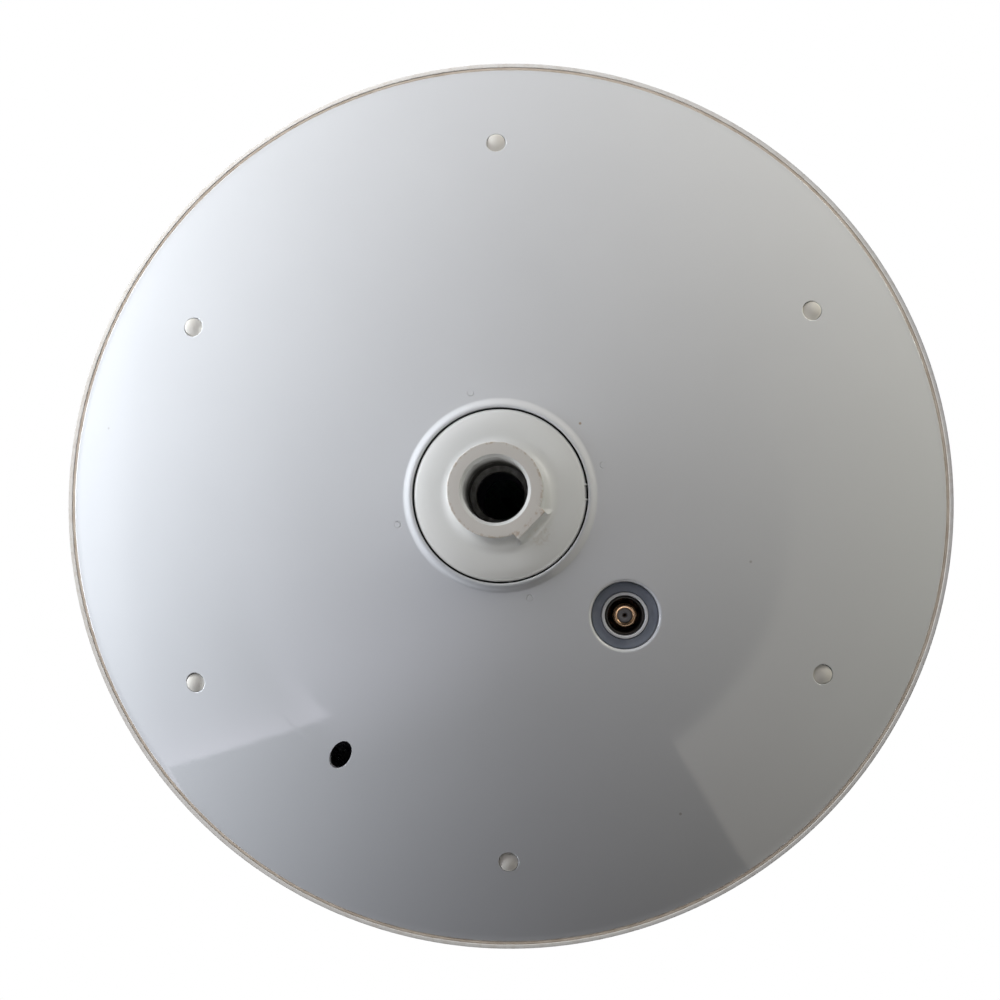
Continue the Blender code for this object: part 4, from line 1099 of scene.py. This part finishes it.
def build_world():
    """White behind the object; for everything else a pale ceiling, and screens in a dark room."""
    world = bpy.data.worlds.new("studio")
    world.use_nodes = True
    tree = world.node_tree
    view = add_node(tree, "TexCoord").outputs["Generated"]
    overhead = ramp(tree, toward(tree, view, (0.0, 0.0, -1.0)), 0.2, 0.6, 0.0, CEILING_BRIGHTNESS)
    light = glow(tree, (1.0, 1.0, 1.0), overhead)
    for screen in SCREENS:
        sides = {0: light, 1: add_screen(tree, view, screen)}
        light = add_node(tree, "AddShader", sides).outputs[0]
    seen = add_node(tree, "LightPath").outputs["Is Camera Ray"]
    sides = {0: seen, 1: light, 2: glow(tree, (1.0, 1.0, 1.0), 1.0)}
    both = add_node(tree, "MixShader", sides)
    tree.links.new(both.outputs[0], tree.nodes["World Output"].inputs["Surface"])
    bpy.context.scene.world = world


def glow(tree, colour, strength):
    """Light of one colour from the world."""
    inputs = {"Color": (*colour, 1.0), "Strength": strength}
    return add_node(tree, "Background", inputs).outputs[0]


def toward(tree, view, direction):
    """How far the view direction leans towards a direction of the picture."""
    return vector_maths(tree, "DOT_PRODUCT", view, tuple(from_picture(direction))).outputs["Value"]


def picture_direction(turn, tilt):
    """The direction at an angle round the picture, tilted from the line towards the viewer."""
    turn = radians(turn)
    tilt = radians(tilt)
    return (sin(tilt) * cos(turn), sin(tilt) * sin(turn), cos(tilt))


def add_screen(tree, view, screen):
    """A distant screen with one straight border, brightest at the border and round its middle."""
    past_edge = toward(tree, view, screen["edge"])
    inside = ramp(tree, past_edge, -screen["blur"], screen["blur"])
    if "side" in screen:
        past_side = toward(tree, view, screen["side"])
        inside = times(tree, inside, ramp(tree, past_side, -SIDE_BLUR, SIDE_BLUR))
    fading = maths(tree, "EXPONENT", times(tree, past_edge, -1.0 / screen["fall"]))
    facing = toward(tree, view, (0.0, 0.0, 1.0))
    start, full, fade, end = (cos(radians(tilt)) for tilt in screen["tilts"])
    band = times(tree, ramp(tree, facing, end, fade), ramp(tree, facing, full, start, 1.0, 0.0))
    off_middle = maths(tree, "SUBTRACT", toward(tree, view, picture_direction(*screen["middle"])), 1.0)
    spread = maths(tree, "EXPONENT", times(tree, off_middle, screen["focus"]))
    strength = times(tree, times(tree, inside, fading), times(tree, band, spread))
    mirrored = add_node(tree, "LightPath").outputs["Is Glossy Ray"]
    counted = ramp(tree, mirrored, 0.0, 1.0, screen.get("share", SCREEN_SHARE_OF_LIGHT), 1.0)
    strength = times(tree, strength, times(tree, counted, screen["brightness"]))
    return glow(tree, screen["colour"], strength)


def add_softbox(name, place_at, size, radiance, colour, groups, mirrored):
    """A soft rectangular lamp, aimed at the rim's centre, that lights only some groups."""
    data = bpy.data.lights.new(name, "AREA")
    data.shape = "RECTANGLE"
    data.size, data.size_y = size
    data.energy = radiance * pi * data.size * data.size_y
    data.color = colour
    lamp = bpy.data.objects.new(name, data)
    lamp.location = place_at
    lamp.rotation_euler = (RIM_CENTRE - place_at).to_track_quat("-Z", "Y").to_euler()
    lamp.visible_camera = False
    lamp.visible_glossy = mirrored
    bpy.context.collection.objects.link(lamp)
    lit = bpy.data.collections.new(f"lit_by_{name}")
    for piece in bpy.context.scene.objects:
        if piece.type == "MESH" and light_group(piece.name) in groups:
            lit.objects.link(piece)
    lamp.light_linking.receiver_collection = lit


def light_group(name):
    """The group of pieces that a piece is lit with; what is sealed inside gets no lamp."""
    if name in frame["nodes"]:
        return "inside"
    return LIGHT_GROUPS.get(name, "cover")


def build_lights():
    """Softboxes round and in front of the underside, and softboxes above and beside the dome."""
    for name, (turn, out, near, *softbox) in UNDER_SOFTBOXES.items():
        place_at = (out * cos(radians(turn)), out * sin(radians(turn)), near)
        add_softbox(name, from_picture(place_at) + RIM_CENTRE, *softbox)
    for name, (place_at, *softbox) in DOME_SOFTBOXES.items():
        add_softbox(name, Vector(place_at), *softbox)


bpy.context.scene.view_settings.view_transform = "Standard"
build_camera()
build_floor()
build_world()
build_dome()
build_cover()
build_seal()
build_hub()
build_plugs()
build_jack()
build_nut()
build_socket_rubbers()
finish_kept_nodes()
build_lights()

bpy.context.view_layer.update()
